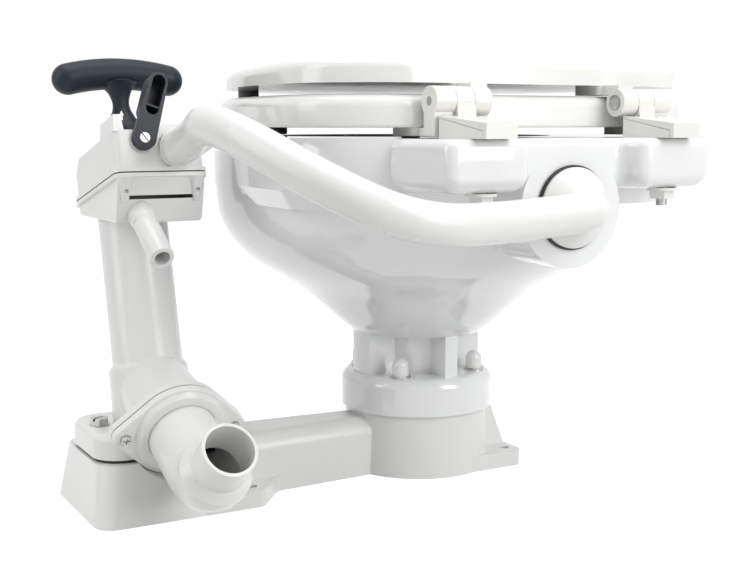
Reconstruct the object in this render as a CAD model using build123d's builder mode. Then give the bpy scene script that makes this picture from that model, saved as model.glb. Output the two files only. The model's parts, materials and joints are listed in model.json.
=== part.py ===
"""Manual marine toilet: china bowl with a hinged seat and lid on a moulded base,
with a leaning twin-action hand pump beside it.

Units are millimetres and degrees. The origin is on the floor in the middle of the
four floor bolts. The front of the seat points to -Y, the pump stands on the +X side.
"""

from build123d import *
from math import cos, radians, sin, tan
import os

os.makedirs("parts", exist_ok=True)

# General clearances
SEAT_GAP = 0.3
SLIP = 0.05
HOLE_GAP = 0.4

# Floor fixing and base
BOLT_SPAN_X = 242.0
BOLT_SPAN_Y = 92.0
FLOOR_HOLE_R = 4.4
LUG_T = 13.0
LUG_EDGE_X = 10.5
LUG_EDGE_Y = 15.0
LUG_CORNER_R = 10.0
LUG_SPOT_R = 12.0
BOWL_X = -58.0
PEDESTAL_FOOT_R = 64.5
PEDESTAL_TOP_R = 62.0
PEDESTAL_H = 53.0
BASE_WALL = 4.5
GUSSET_Y = 30.0
GUSSET_T = 5.0
WASTE_R = 22.0
CHANNEL_BORE_R = 14.5
CHANNEL_Z = 19.5
PUMP_BOLT_DEPTH = 7.5
CHANNEL_H = 49.0
CHANNEL_ROUND = 15.0
CHANNEL_HALF_BOWL = 20.6
CHANNEL_HALF_PUMP = 31.0
CHANNEL_END_X = 117.0

# Pump foot on the base
PUMP_X = 184.0
FOOT_HALF_X = 64.0
FOOT_HALF_Y = 61.0
FOOT_TOP_HALF_X = 58.0
FOOT_TOP_HALF_Y = 50.0
FOOT_H = 44.5
FOOT_CORNER_R = 15.0
PUMP_DUCT_R = 16.0

# Pump column, which leans towards the front
LEAN = 14.37
AXIS_CROSS_Z = 60.1
HEAD_RISE = 185.8
TUBE_R = 27.6
BORE_R = 24.8
TUBE_TOP_W = -6.0
CHAMBER_R = 31.0
SHOULDER_W = -136.0
SHOULDER_CHAMFER = 4.0
PUMP_GASKET_T = 2.5
PUMP_FLANGE_T = 18.0
PUMP_FLANGE_HALF_X = 57.0
PUMP_FLANGE_HALF_Y = 44.5
PUMP_FLANGE_CORNER_R = 22.0
PUMP_FLANGE_ROUND = 5.0
PUMP_BOLT_X = 44.0
PUMP_BOLT_R = 4.0
PUMP_WASHER_R = 7.5
PUMP_WASHER_T = 1.2
CHAMBER_FLOOR_Z = 56.0

# Discharge port
PORT_DROP = 22.4
PORT_Y = 64.5
PORT_Z = 66.1
PORT_BOSS_R = 33.0
PORT_BORE_R = 18.5
PORT_FLANGE_R = 38.0
PORT_LUG_X = 43.0
PORT_LUG_R = 8.5
COLLAR_TOP_R = 33.0
COLLAR_FOOT_R = 36.0
COLLAR_H = 4.0
RETAINER_T = 5.5
VALVE_RIM_T = 1.5
PORT_FLANGE_T = 5.5
PORT_SCREW_R = 2.2

# Discharge elbow
ELBOW_R = 26.3
ELBOW_WALL = 4.3
ELBOW_LEG = 56.0
ELBOW_RISE = 39.3
TAIL_R = 20.2
TAIL_WALL = 2.6
TAIL_LEG = 51.0
TAIL_TAPER = 7.0
ELBOW_BEND_R = 27.5
ELBOW_LIP_R = 29.5
ELBOW_LIP_T = 3.0

# Bowl
BOWL_GASKET_T = 2.0
BOWL_GASKET_R = 45.0
BOWL_FOOT_R = 65.9
BOWL_FOOT_TOP_Z = 84.0
BOWL_FOOT_ROUND = 9.0
BOWL_BOLT_X = 37.0
BOWL_BOLT_Y = 35.0
BOWL_BOLT_R = 3.0
NECK_CORE_R = 34.0
NECK_R = 57.0
NECK_TOP_Z = 128.0
NECK_RIB_SIDE = 30.0
NECK_RIB_REAR = 12.0
THROAT_R = 24.0
RIM_Z = 286.0
RIM_BAND_H = 38.0
RIM_HALF = 178.0
RIM_FRONT = 188.0
RIM_REAR = 176.0
RIM_CORNER_R = 78.0
RIM_ROUND = 7.0
RIM_OPENING_HALF = 125.0
RIM_OPENING_FRONT = 135.0
RIM_OPENING_REAR = 105.0
RIM_LIP_W = 8.0
RIM_LIP_DROP = 46.0
RIM_TOP_T = 14.0
SHELL_RIM_R = 174.0
DECK_Z = 249.0
DECK_HALF = 115.0
DECK_WALL_Y = 212.0
EAR_INNER = 45.0
EAR_Y = 231.0
EAR_ROUND = 13.0
INLET_Z = 236.5
INLET_BOSS_R = 44.0
INLET_BORE_R = 15.0

# Seat and lid
HINGE_Y = 187.0
HINGE_Z = 311.65
SEAT_Z = 293.3
SEAT_T = 23.3
SEAT_HALF = 180.0
SEAT_FRONT = 194.0
SEAT_REAR = 175.0
SEAT_CORNER_R = 82.0
SEAT_ROUND = 9.0
SEAT_HOLE_HALF = 108.0
SEAT_HOLE_FRONT = 135.0
SEAT_HOLE_REAR = 95.0
LID_Z = 324.6
LID_REAR_T = 18.0
LID_FRONT_T = 9.6
LID_HALF = 175.0
LID_FRONT = 190.0
LID_REAR = 171.5
LID_CORNER_R = 80.0
LID_ROUND = 8.0
PLATE_SHOULDER_Y = 70.0
SEAT_BUMPER_X = 72.0
SEAT_BUMPER_Y = -131.0
LID_BUMPER_X = 115.0
LID_BUMPER_Y = -98.0
BUMPER_R = 9.0

# Hinges
HINGE_X = 81.0
KNUCKLE_R = 10.3
KNUCKLE_W = 15.0
KNUCKLE_GAP = 0.35
SEAT_KNUCKLE_W = 16.0
LID_KNUCKLE_W = 14.0
HINGE_PIN_R = 3.0
HINGE_BOLT_Y = 216.0
HINGE_BOLT_R = 4.0
LEAF_POST_T = 14.0
LEAF_REACH = 46.0
SEAT_LEAF_T = 5.7
LID_LEAF_T = 7.0
HINGE_BASE_FRONT_Y = 196.0
HINGE_BASE_REAR_Y = 240.0
HINGE_BASE_FRONT_W = 43.0
HINGE_BASE_REAR_W = 25.0
HINGE_BASE_FRONT_H = 15.5
HINGE_BASE_REAR_H = 10.5
CAP_FRONT_T = 1.4
CAP_REAR_T = 5.0
CAP_END_T = 3.0

# Pump head, in its own leaning frame: u to +X, v to the rear, w along the column
HEAD_HALF_U = 36.3
HEAD_FRONT_V = -50.0
HEAD_REAR_V = 81.6
HEAD_FRONT_R = 25.0
HEAD_REAR_R = 7.0
HEAD_LIP_T = 3.0
HEAD_LIP_EDGE = 2.3
CHEST_REAR_WALL = 9.5
CHEST_SIDE_WALL = 6.0
CHEST_FRONT_WALL = 8.0
HEAD_BOTTOM_Z = 222.0
HEAD_REAR_SLOPE = 27.4
HEAD_GASKET_T = 1.0
COVER_TOP_W = 33.0
COVER_FRONT_TOP_V = -16.0
COVER_FRONT_FOOT_V = -41.0
GLAND_R = 17.0
GLAND_TOP_W = 39.0
BLOCK_TOP_W = 45.0
BLOCK_PLUS_U = 26.0
BLOCK_FRONT_V = 44.0
BLOCK_MINUS_U = -6.0
BLOCK_MINUS_W = 42.0
BLOCK_MINUS_REAR_V = 60.0
SPIGOT_U = -14.7
SPIGOT_W = 17.8
SPIGOT_COLLAR_R = 15.6
SPIGOT_COLLAR_L = 4.0
SPIGOT_R = 10.6
SPIGOT_L = 26.0
SPOUT_U = 15.0
SPOUT_Y = 24.3
SPOUT_Z = 228.4
SPOUT_DROP = 32.0
SPOUT_R = 9.1
SPOUT_BORE_R = 5.9
SPOUT_L = 54.0

# Selector lever
LEVER_U = 12.2
LEVER_W = 25.6
LEVER_HUB_R = 8.9
LEVER_HUB_T = 4.5
LEVER_LEAN = 20.0
LEVER_TOP_R = 53.0
LEVER_HALF = 7.0
LEVER_DEPTH = 18.0
LEVER_FOOT = 17.0
LEVER_WALL = 2.0
SELECTOR_SHAFT_R = 3.0

# Pump handle, rod and piston
ROD_R = 5.0
GRIP_W = 96.5
GRIP_HALF = 54.0
GRIP_R = 12.5
NECK_ROD_R = 6.7
SKIRT_TOP_R = 8.0
SKIRT_FOOT_R = 16.0
SKIRT_TOP_W = 70.0
PISTON_W = -148.0
PISTON_T = 12.0
STROKE = 130.0

# Bowl hose
HOSE_R = 14.0
HOSE_BORE_R = 10.75

# Bowl inlet elbow
INLET_DISC_R = 29.0
INLET_GASKET_R = 30.5
INLET_GASKET_T = 3.0
INLET_ELBOW_Y = 244.0
INLET_CONE_TOP_R = 17.0
INLET_PIPE_R = 13.0
INLET_SPIGOT_R = 10.6
INLET_REACH = 18.5
INLET_SPIGOT_L = 25.5

lean_s = sin(radians(LEAN))
lean_c = cos(radians(LEAN))
UP_COLUMN = Vector(0, -lean_s, lean_c)
head_origin = Vector(PUMP_X, -HEAD_RISE * lean_s, AXIS_CROSS_Z + HEAD_RISE * lean_c)
HEAD = Plane(origin=head_origin, x_dir=(1, 0, 0), z_dir=UP_COLUMN)
PORT = Plane(
    origin=(PUMP_X, PORT_Y, PORT_Z),
    x_dir=(1, 0, 0),
    z_dir=(0, cos(radians(PORT_DROP)), -sin(radians(PORT_DROP))),
)
retainer_back = -COLLAR_H - RETAINER_T
port_flange_face = retainer_back - VALVE_RIM_T
port_flange_back = port_flange_face - PORT_FLANGE_T
pump_foot_z = FOOT_H + PUMP_GASKET_T
bowl_foot_z = PEDESTAL_H + SEAT_GAP
lid_rest_gap = LID_Z - SEAT_Z - SEAT_T
floor_holes_x = BOLT_SPAN_X / 2
floor_holes_y = BOLT_SPAN_Y / 2


def head_plane(w):
    """Plane square to the column, w above the parting face of the head."""
    return HEAD.offset(w)


def head_side_plane(u):
    """Plane along the column whose X runs to the rear and whose Y runs up the column."""
    origin = HEAD.from_local_coords((u, 0, 0))
    return Plane(origin=origin, x_dir=HEAD.y_dir, z_dir=(1, 0, 0))


def egg_outline(half, front, rear, corner):
    """Closed outline of a seat-like plate: straight rear, round corners, egg-shaped front."""
    flat = half - corner
    with BuildSketch() as outline:
        with BuildLine():
            Line((flat, rear), (-flat, rear))
            CenterArc((-flat, rear - corner), corner, 90, 90)
            Line((-half, rear - corner), (-half, PLATE_SHOULDER_Y))
            EllipticalCenterArc(
                (0, PLATE_SHOULDER_Y), half, front + PLATE_SHOULDER_Y, 180, arc_size=180
            )
            Line((half, PLATE_SHOULDER_Y), (half, rear - corner))
            CenterArc((flat, rear - corner), corner, 0, 90)
        make_face()
    return outline.sketch


def opening_outline(half, front, rear):
    """Closed oval opening, rounder at the rear than at the front."""
    middle = rear - half
    with BuildSketch() as outline:
        with BuildLine():
            CenterArc((0, middle), half, 0, 180)
            EllipticalCenterArc((0, middle), half, front + middle, 180, arc_size=180)
        make_face()
    return outline.sketch


def rounded_plan(half, front, rear, front_r, rear_r):
    """Closed rectangle, symmetric in X, with one corner radius in front and one behind."""
    with BuildSketch() as outline:
        with BuildLine():
            Line((half, front + front_r), (half, rear - rear_r))
            CenterArc((half - rear_r, rear - rear_r), rear_r, 0, 90)
            Line((half - rear_r, rear), (rear_r - half, rear))
            CenterArc((rear_r - half, rear - rear_r), rear_r, 90, 90)
            Line((-half, rear - rear_r), (-half, front + front_r))
            CenterArc((front_r - half, front + front_r), front_r, 180, 90)
            Line((front_r - half, front), (half - front_r, front))
            CenterArc((half - front_r, front + front_r), front_r, 270, 90)
        make_face()
    return outline.sketch


def head_outline(inset):
    """Closed plan of the pump head, moved in by the inset."""
    return rounded_plan(
        HEAD_HALF_U - inset,
        HEAD_FRONT_V + inset,
        HEAD_REAR_V - inset,
        HEAD_FRONT_R - inset,
        max(HEAD_REAR_R - inset, 1.5),
    )


def chest_outline(inset):
    """Closed plan of the valve chest behind the bore, moved in by the inset."""
    return rounded_plan(
        HEAD_HALF_U - CHEST_SIDE_WALL - inset,
        TUBE_R + CHEST_FRONT_WALL + inset,
        HEAD_REAR_V - CHEST_REAR_WALL - inset,
        4,
        4,
    )


def flange_outline(grow):
    """Round port flange with a lug on each side, moved out by the amount."""
    lug = PORT_LUG_R + grow
    body = PORT_FLANGE_R + grow
    with BuildSketch() as outline:
        Circle(body)
        with Locations((-PORT_LUG_X, 0), (PORT_LUG_X, 0)):
            Circle(lug)
        make_hull()
    return outline.sketch


# Base casting: pedestal, floor lugs, waste channel and pump foot, hollow underneath
with BuildPart() as base_casting:
    with BuildSketch():
        with BuildLine():
            Polyline(
                (BOWL_X, -CHANNEL_HALF_BOWL),
                (CHANNEL_END_X, -CHANNEL_HALF_PUMP),
                (CHANNEL_END_X, CHANNEL_HALF_PUMP),
                (BOWL_X, CHANNEL_HALF_BOWL),
                close=True,
            )
        make_face()
    extrude(amount=CHANNEL_H)
    fillet(base_casting.edges().group_by(Axis.Z)[-1], CHANNEL_ROUND)
    with Locations((BOWL_X, 0, 0)):
        Cone(
            PEDESTAL_FOOT_R,
            PEDESTAL_TOP_R,
            PEDESTAL_H,
            align=(Align.CENTER, Align.CENTER, Align.MIN),
        )
    plate_end = -floor_holes_x - LUG_EDGE_X
    plate_half = floor_holes_y + LUG_EDGE_Y
    with BuildSketch():
        with BuildLine():
            Line((BOWL_X, -plate_half), (plate_end + LUG_CORNER_R, -plate_half))
            CenterArc(
                (plate_end + LUG_CORNER_R, LUG_CORNER_R - plate_half), LUG_CORNER_R, 180, 90
            )
            Line((plate_end, LUG_CORNER_R - plate_half), (plate_end, plate_half - LUG_CORNER_R))
            CenterArc(
                (plate_end + LUG_CORNER_R, plate_half - LUG_CORNER_R), LUG_CORNER_R, 90, 90
            )
            Line((plate_end + LUG_CORNER_R, plate_half), (BOWL_X, plate_half))
            Line((BOWL_X, plate_half), (BOWL_X, -plate_half))
        make_face()
    extrude(amount=LUG_T)
    gusset_root = BOWL_X - PEDESTAL_TOP_R * 0.7
    with BuildSketch(Plane.XZ):
        with BuildLine():
            Polyline(
                (gusset_root, LUG_T),
                (plate_end + 2.5, LUG_T),
                (plate_end + 2.5, LUG_T + 2),
                (BOWL_X - PEDESTAL_TOP_R + 5, PEDESTAL_H - 3),
                (gusset_root, PEDESTAL_H - 3),
                close=True,
            )
        make_face()
    gusset_profile = base_casting.pending_faces[0]
    base_casting.pending_faces.clear()
    for side in (-1, 1):
        extrude(
            gusset_profile.moved(Location((0, side * GUSSET_Y + GUSSET_T / 2, 0))),
            amount=GUSSET_T,
        )
    for height, half_x, half_y in (
        (0, FOOT_HALF_X, FOOT_HALF_Y),
        (FOOT_H, FOOT_TOP_HALF_X, FOOT_TOP_HALF_Y),
    ):
        with BuildSketch(Plane.XY.offset(height)):
            with Locations((PUMP_X, 0)):
                RectangleRounded(2 * half_x, 2 * half_y, FOOT_CORNER_R)
    loft(ruled=True)
    lug_start = CHANNEL_END_X - 24
    with BuildSketch():
        with BuildLine():
            outer = FilletPolyline(
                (lug_start - 12, CHANNEL_HALF_PUMP - 5),
                (lug_start, CHANNEL_HALF_PUMP + 1),
                (floor_holes_x - 4, plate_half),
                (PUMP_X - 20, plate_half),
                radius=12,
            )
            Line(outer @ 1, (PUMP_X - 20, 0))
            Line((PUMP_X - 20, 0), (lug_start - 12, 0))
            Line((lug_start - 12, 0), outer @ 0)
        make_face()
        mirror(about=Plane.XZ)
    extrude(amount=LUG_T)
    spot_top_r = LUG_SPOT_R + 8
    for side in (-1, 1):
        with BuildSketch(Plane.XY.offset(LUG_T)):
            with Locations((floor_holes_x, side * floor_holes_y)):
                Circle(LUG_SPOT_R)
        with BuildSketch(Plane.XY.offset(CHANNEL_H + 1)):
            with Locations((floor_holes_x, side * (floor_holes_y + 4))):
                Circle(spot_top_r)
        loft(mode=Mode.SUBTRACT)
    # Scoop that clears the discharge flange and elbow
    with BuildSketch(PORT.offset(port_flange_back - 1)):
        Circle(PORT_FLANGE_R + 2 * HOLE_GAP)
    extrude(amount=-port_flange_back + 60, mode=Mode.SUBTRACT)
    # Hollow underside, with the waste duct left in the middle
    with BuildSketch():
        with Locations((BOWL_X, 0)):
            Circle(PEDESTAL_FOOT_R - BASE_WALL)
            Circle(WASTE_R + BASE_WALL, mode=Mode.SUBTRACT)
        with Locations((BOWL_X + PEDESTAL_FOOT_R, 0)):
            Rectangle(2 * PEDESTAL_FOOT_R, 2 * CHANNEL_BORE_R + 2 * BASE_WALL, mode=Mode.SUBTRACT)
    extrude(amount=PEDESTAL_H - 7, taper=2.5, mode=Mode.SUBTRACT)
    with BuildSketch(Plane.XY.offset(CHANNEL_Z)):
        with Locations((BOWL_X, 0)):
            Circle(WASTE_R)
    extrude(until=Until.LAST, mode=Mode.SUBTRACT)
    with BuildSketch(Plane.YZ.offset(BOWL_X)):
        with Locations((0, CHANNEL_Z)):
            Circle(CHANNEL_BORE_R)
    extrude(amount=PUMP_X - BOWL_X, mode=Mode.SUBTRACT)
    with BuildSketch(Plane.XY.offset(CHANNEL_Z)):
        with Locations((PUMP_X, 0)):
            Circle(PUMP_DUCT_R)
    extrude(until=Until.LAST, mode=Mode.SUBTRACT)
    # Pockets each side of the duct under the pump foot
    pocket_start = floor_holes_x + LUG_SPOT_R + LUG_EDGE_Y
    pocket_end = PUMP_X + FOOT_HALF_X - BASE_WALL - 1
    duct_side = CHANNEL_BORE_R + BASE_WALL
    for near_y, far_y, depth in (
        (-duct_side, BASE_WALL + 1 - FOOT_HALF_Y, FOOT_H - BASE_WALL),
        (duct_side, duct_side + BASE_WALL + 10, FOOT_H / 2),
    ):
        with BuildSketch():
            with Locations(((pocket_start + pocket_end) / 2, (near_y + far_y) / 2)):
                RectangleRounded(pocket_end - pocket_start, abs(far_y - near_y), BASE_WALL)
        extrude(amount=depth, taper=3, mode=Mode.SUBTRACT)
    with BuildSketch(Plane.XY.offset(FOOT_H)):
        with Locations((PUMP_X - PUMP_BOLT_X, 0), (PUMP_X + PUMP_BOLT_X, 0)):
            Circle(PUMP_BOLT_R + SLIP)
    extrude(amount=-PUMP_BOLT_DEPTH - 1, mode=Mode.SUBTRACT)
    with BuildSketch():
        with GridLocations(BOLT_SPAN_X, BOLT_SPAN_Y, 2, 2):
            Circle(FLOOR_HOLE_R)
    extrude(amount=FOOT_H, mode=Mode.SUBTRACT)
    with BuildSketch(Plane.XY.offset(PEDESTAL_H - 8)):
        with Locations((BOWL_X, 0)):
            with GridLocations(2 * BOWL_BOLT_X, 2 * BOWL_BOLT_Y, 2, 2):
                Circle(BOWL_BOLT_R + HOLE_GAP)
    extrude(amount=8, mode=Mode.SUBTRACT)
base_casting.part.label = "base_casting"
export_step(base_casting.part, "parts/base_casting.step")

# Bowl: round foot, ribbed neck, cone, box rim and a rear deck with two hinge ears
with BuildPart() as bowl:
    deck_h = RIM_Z - DECK_Z
    with BuildSketch(Plane((BOWL_X, 0, DECK_Z))):
        with BuildLine():
            half_deck = FilletPolyline(
                (0, DECK_WALL_Y),
                (EAR_INNER, DECK_WALL_Y),
                (EAR_INNER + 6, EAR_Y),
                (DECK_HALF, EAR_Y),
                (DECK_HALF + 14, RIM_REAR - 20),
                (DECK_HALF - 40, RIM_REAR - 90),
                radius=9,
            )
            mirror(half_deck, about=Plane.YZ)
            Line(half_deck @ 1, (-(DECK_HALF - 40), RIM_REAR - 90))
        make_face()
    extrude(amount=deck_h)
    fillet(bowl.edges().group_by(Axis.Z)[0], EAR_ROUND)
    fillet(bowl.edges().group_by(Axis.Z)[-1], RIM_ROUND)
    with BuildSketch(Plane(origin=(BOWL_X, DECK_WALL_Y, INLET_Z), x_dir=(1, 0, 0), z_dir=(0, -1, 0))):
        Circle(INLET_BOSS_R)
    extrude(amount=DECK_WALL_Y - RIM_REAR + 60, mode=Mode.ADD)
    # The boss ends under the rim
    split(bisect_by=Plane.XY.offset(RIM_Z), keep=Keep.BOTTOM)
    with BuildSketch(Plane(origin=(BOWL_X, 0, 0), x_dir=(1, 0, 0), z_dir=(0, -1, 0))):
        with BuildLine():
            cone_side = Spline(
                (NECK_R, NECK_TOP_Z - 9),
                (105, 158),
                (153, 191),
                (170, 219),
                (SHELL_RIM_R, RIM_Z - RIM_BAND_H),
                tangents=((1, 0.72), (0.12, 1)),
            )
            Polyline(
                cone_side @ 1,
                (SHELL_RIM_R, RIM_Z - 12),
                (0, RIM_Z - 12),
                (0, NECK_TOP_Z - 9),
                cone_side @ 0,
            )
        make_face()
    revolve(axis=Axis((BOWL_X, 0, 0), (0, 0, 1)))
    with BuildSketch(Plane((BOWL_X, 0, RIM_Z - RIM_BAND_H - 14))):
        add(egg_outline(RIM_HALF - 8, RIM_FRONT - 18, RIM_REAR - 10, RIM_CORNER_R))
    with BuildSketch(Plane((BOWL_X, 0, RIM_Z - RIM_BAND_H))):
        add(egg_outline(RIM_HALF, RIM_FRONT, RIM_REAR, RIM_CORNER_R))
    loft(ruled=True)
    with BuildSketch(Plane((BOWL_X, 0, RIM_Z - RIM_BAND_H))):
        add(egg_outline(RIM_HALF, RIM_FRONT, RIM_REAR, RIM_CORNER_R))
    extrude(amount=RIM_BAND_H)
    # Foot flange and the ribbed neck that leaves a pocket over each bolt
    with BuildSketch(Plane((BOWL_X, 0, bowl_foot_z))):
        Circle(BOWL_FOOT_R)
    extrude(amount=BOWL_FOOT_TOP_Z - bowl_foot_z)
    fillet(
        bowl.edges().filter_by(GeomType.CIRCLE).filter_by_position(
            Axis.Z, BOWL_FOOT_TOP_Z - 0.1, BOWL_FOOT_TOP_Z + 0.1
        ),
        BOWL_FOOT_ROUND,
    )
    with BuildSketch(Plane((BOWL_X, 0, BOWL_FOOT_TOP_Z - 1))):
        Circle(NECK_CORE_R)
        Rectangle(2 * NECK_R, NECK_RIB_SIDE)
        Rectangle(NECK_RIB_REAR, 2 * NECK_R)
        Circle(NECK_R, mode=Mode.INTERSECT)
    extrude(amount=NECK_TOP_Z - BOWL_FOOT_TOP_Z + 6)
    # Bowl interior, flushing channel under the rim, and the rim opening
    with BuildSketch(Plane(origin=(BOWL_X, 0, 0), x_dir=(1, 0, 0), z_dir=(0, -1, 0))):
        with BuildLine():
            inner_side = Spline(
                (THROAT_R, NECK_TOP_Z - 30),
                (98, 163),
                (143, 196),
                (SHELL_RIM_R - 14, RIM_Z - 46),
                tangents=((0.25, 1), (0.05, 1)),
            )
            Polyline(
                inner_side @ 1,
                (SHELL_RIM_R - 14, RIM_Z - RIM_TOP_T),
                (0, RIM_Z - RIM_TOP_T),
                (0, 0),
                (THROAT_R, 0),
                inner_side @ 0,
            )
        make_face()
    revolve(axis=Axis((BOWL_X, 0, 0), (0, 0, 1)), mode=Mode.SUBTRACT)
    rim_opening = opening_outline(RIM_OPENING_HALF, RIM_OPENING_FRONT, RIM_OPENING_REAR)
    lip_outside = opening_outline(
        RIM_OPENING_HALF + RIM_LIP_W, RIM_OPENING_FRONT + RIM_LIP_W, RIM_OPENING_REAR + RIM_LIP_W
    )
    with BuildSketch(Plane((BOWL_X, 0, RIM_Z))):
        add(rim_opening)
    extrude(amount=-RIM_TOP_T - 2, mode=Mode.SUBTRACT)
    with BuildSketch(Plane((BOWL_X, 0, RIM_Z - RIM_TOP_T))):
        add(lip_outside)
        add(rim_opening, mode=Mode.SUBTRACT)
    extrude(amount=-RIM_LIP_DROP + RIM_TOP_T)
    with BuildSketch(Plane(origin=(BOWL_X, DECK_WALL_Y, INLET_Z), x_dir=(1, 0, 0), z_dir=(0, -1, 0))):
        Circle(INLET_BORE_R)
    extrude(amount=DECK_WALL_Y - SHELL_RIM_R + 26, mode=Mode.SUBTRACT)
    with BuildSketch(Plane((BOWL_X, 0, bowl_foot_z))):
        Circle(BOWL_GASKET_R + HOLE_GAP)
    extrude(amount=BOWL_GASKET_T - SEAT_GAP, mode=Mode.SUBTRACT)
    with BuildSketch(Plane((BOWL_X, 0, bowl_foot_z))):
        with GridLocations(2 * BOWL_BOLT_X, 2 * BOWL_BOLT_Y, 2, 2):
            Circle(BOWL_BOLT_R + HOLE_GAP)
    extrude(amount=BOWL_FOOT_TOP_Z - bowl_foot_z, mode=Mode.SUBTRACT)
    with BuildSketch(Plane((BOWL_X, 0, RIM_Z))):
        with Locations((-HINGE_X, HINGE_BOLT_Y), (HINGE_X, HINGE_BOLT_Y)):
            Circle(HINGE_BOLT_R + HOLE_GAP)
    extrude(amount=-deck_h, mode=Mode.SUBTRACT)
bowl.part.label = "bowl"
export_step(bowl.part, "parts/bowl.step")

# Gasket between the pedestal and the bowl's foot
with BuildPart() as bowl_gasket:
    with BuildSketch(Plane((BOWL_X, 0, PEDESTAL_H))):
        Circle(BOWL_GASKET_R)
        Circle(THROAT_R + 1, mode=Mode.SUBTRACT)
        with GridLocations(2 * BOWL_BOLT_X, 2 * BOWL_BOLT_Y, 2, 2):
            Circle(BOWL_BOLT_R + 2 * HOLE_GAP, mode=Mode.SUBTRACT)
    extrude(amount=BOWL_GASKET_T)
bowl_gasket.part.label = "bowl_gasket"
export_step(bowl_gasket.part, "parts/bowl_gasket.step")

bowl_stud_top = BOWL_FOOT_TOP_Z + 12
pedestal_ceiling = PEDESTAL_H - 7

# Bolts that hold the bowl down, heads inside the pedestal
with BuildPart() as bowl_bolts:
    with BuildSketch(Plane((BOWL_X, 0, pedestal_ceiling))):
        with GridLocations(2 * BOWL_BOLT_X, 2 * BOWL_BOLT_Y, 2, 2):
            RegularPolygon(5.0, 6, major_radius=False)
    extrude(amount=-4)
    with BuildSketch(Plane((BOWL_X, 0, pedestal_ceiling - 1))):
        with GridLocations(2 * BOWL_BOLT_X, 2 * BOWL_BOLT_Y, 2, 2):
            Circle(BOWL_BOLT_R)
    extrude(amount=bowl_stud_top - pedestal_ceiling + 1)
    chamfer(bowl_bolts.edges().group_by(Axis.Z)[-1], 0.6)
bowl_bolts.part.label = "bowl_bolts"
export_step(bowl_bolts.part, "parts/bowl_bolts.step")

bowl_washer_t = 1.6
bowl_nut_h = 5.0

# Washers on the bowl's foot
with BuildPart() as bowl_washers:
    with BuildSketch(Plane((BOWL_X, 0, BOWL_FOOT_TOP_Z))):
        with GridLocations(2 * BOWL_BOLT_X, 2 * BOWL_BOLT_Y, 2, 2):
            Circle(8.6)
            Circle(BOWL_BOLT_R + HOLE_GAP, mode=Mode.SUBTRACT)
    extrude(amount=bowl_washer_t)
bowl_washers.part.label = "bowl_washers"
export_step(bowl_washers.part, "parts/bowl_washers.step")

# Hexagon nuts under the caps
with BuildPart() as bowl_nuts:
    with BuildSketch(Plane((BOWL_X, 0, BOWL_FOOT_TOP_Z + bowl_washer_t))):
        with GridLocations(2 * BOWL_BOLT_X, 2 * BOWL_BOLT_Y, 2, 2):
            RegularPolygon(5.0, 6, major_radius=False)
            Circle(BOWL_BOLT_R + SLIP, mode=Mode.SUBTRACT)
    extrude(amount=bowl_nut_h)
bowl_nuts.part.label = "bowl_nuts"
export_step(bowl_nuts.part, "parts/bowl_nuts.step")

# White domed caps over the nuts
cap_r = 7.0
cap_wall = 1.0
cap_side_h = 8.0
with BuildPart() as bowl_nut_caps:
    for bolt in GridLocations(2 * BOWL_BOLT_X, 2 * BOWL_BOLT_Y, 2, 2):
        bolt_x = BOWL_X + bolt.position.X
        cap_z = BOWL_FOOT_TOP_Z + bowl_washer_t
        cap_plane = Plane(origin=(bolt_x, bolt.position.Y, cap_z), x_dir=(1, 0, 0), z_dir=(0, -1, 0))
        with BuildSketch(cap_plane):
            with BuildLine():
                Line((cap_r - cap_wall, 0), (cap_r, 0))
                Line((cap_r, 0), (cap_r, cap_side_h))
                CenterArc((0, cap_side_h), cap_r, 0, 90)
                Line((0, cap_side_h + cap_r), (0, cap_side_h + cap_r - cap_wall))
                CenterArc((0, cap_side_h), cap_r - cap_wall, 0, 90)
                Line((cap_r - cap_wall, cap_side_h), (cap_r - cap_wall, 0))
            make_face()
        revolve(axis=Axis((bolt_x, bolt.position.Y, 0), (0, 0, 1)))
bowl_nut_caps.part.label = "bowl_nut_caps"
export_step(bowl_nut_caps.part, "parts/bowl_nut_caps.step")


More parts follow.
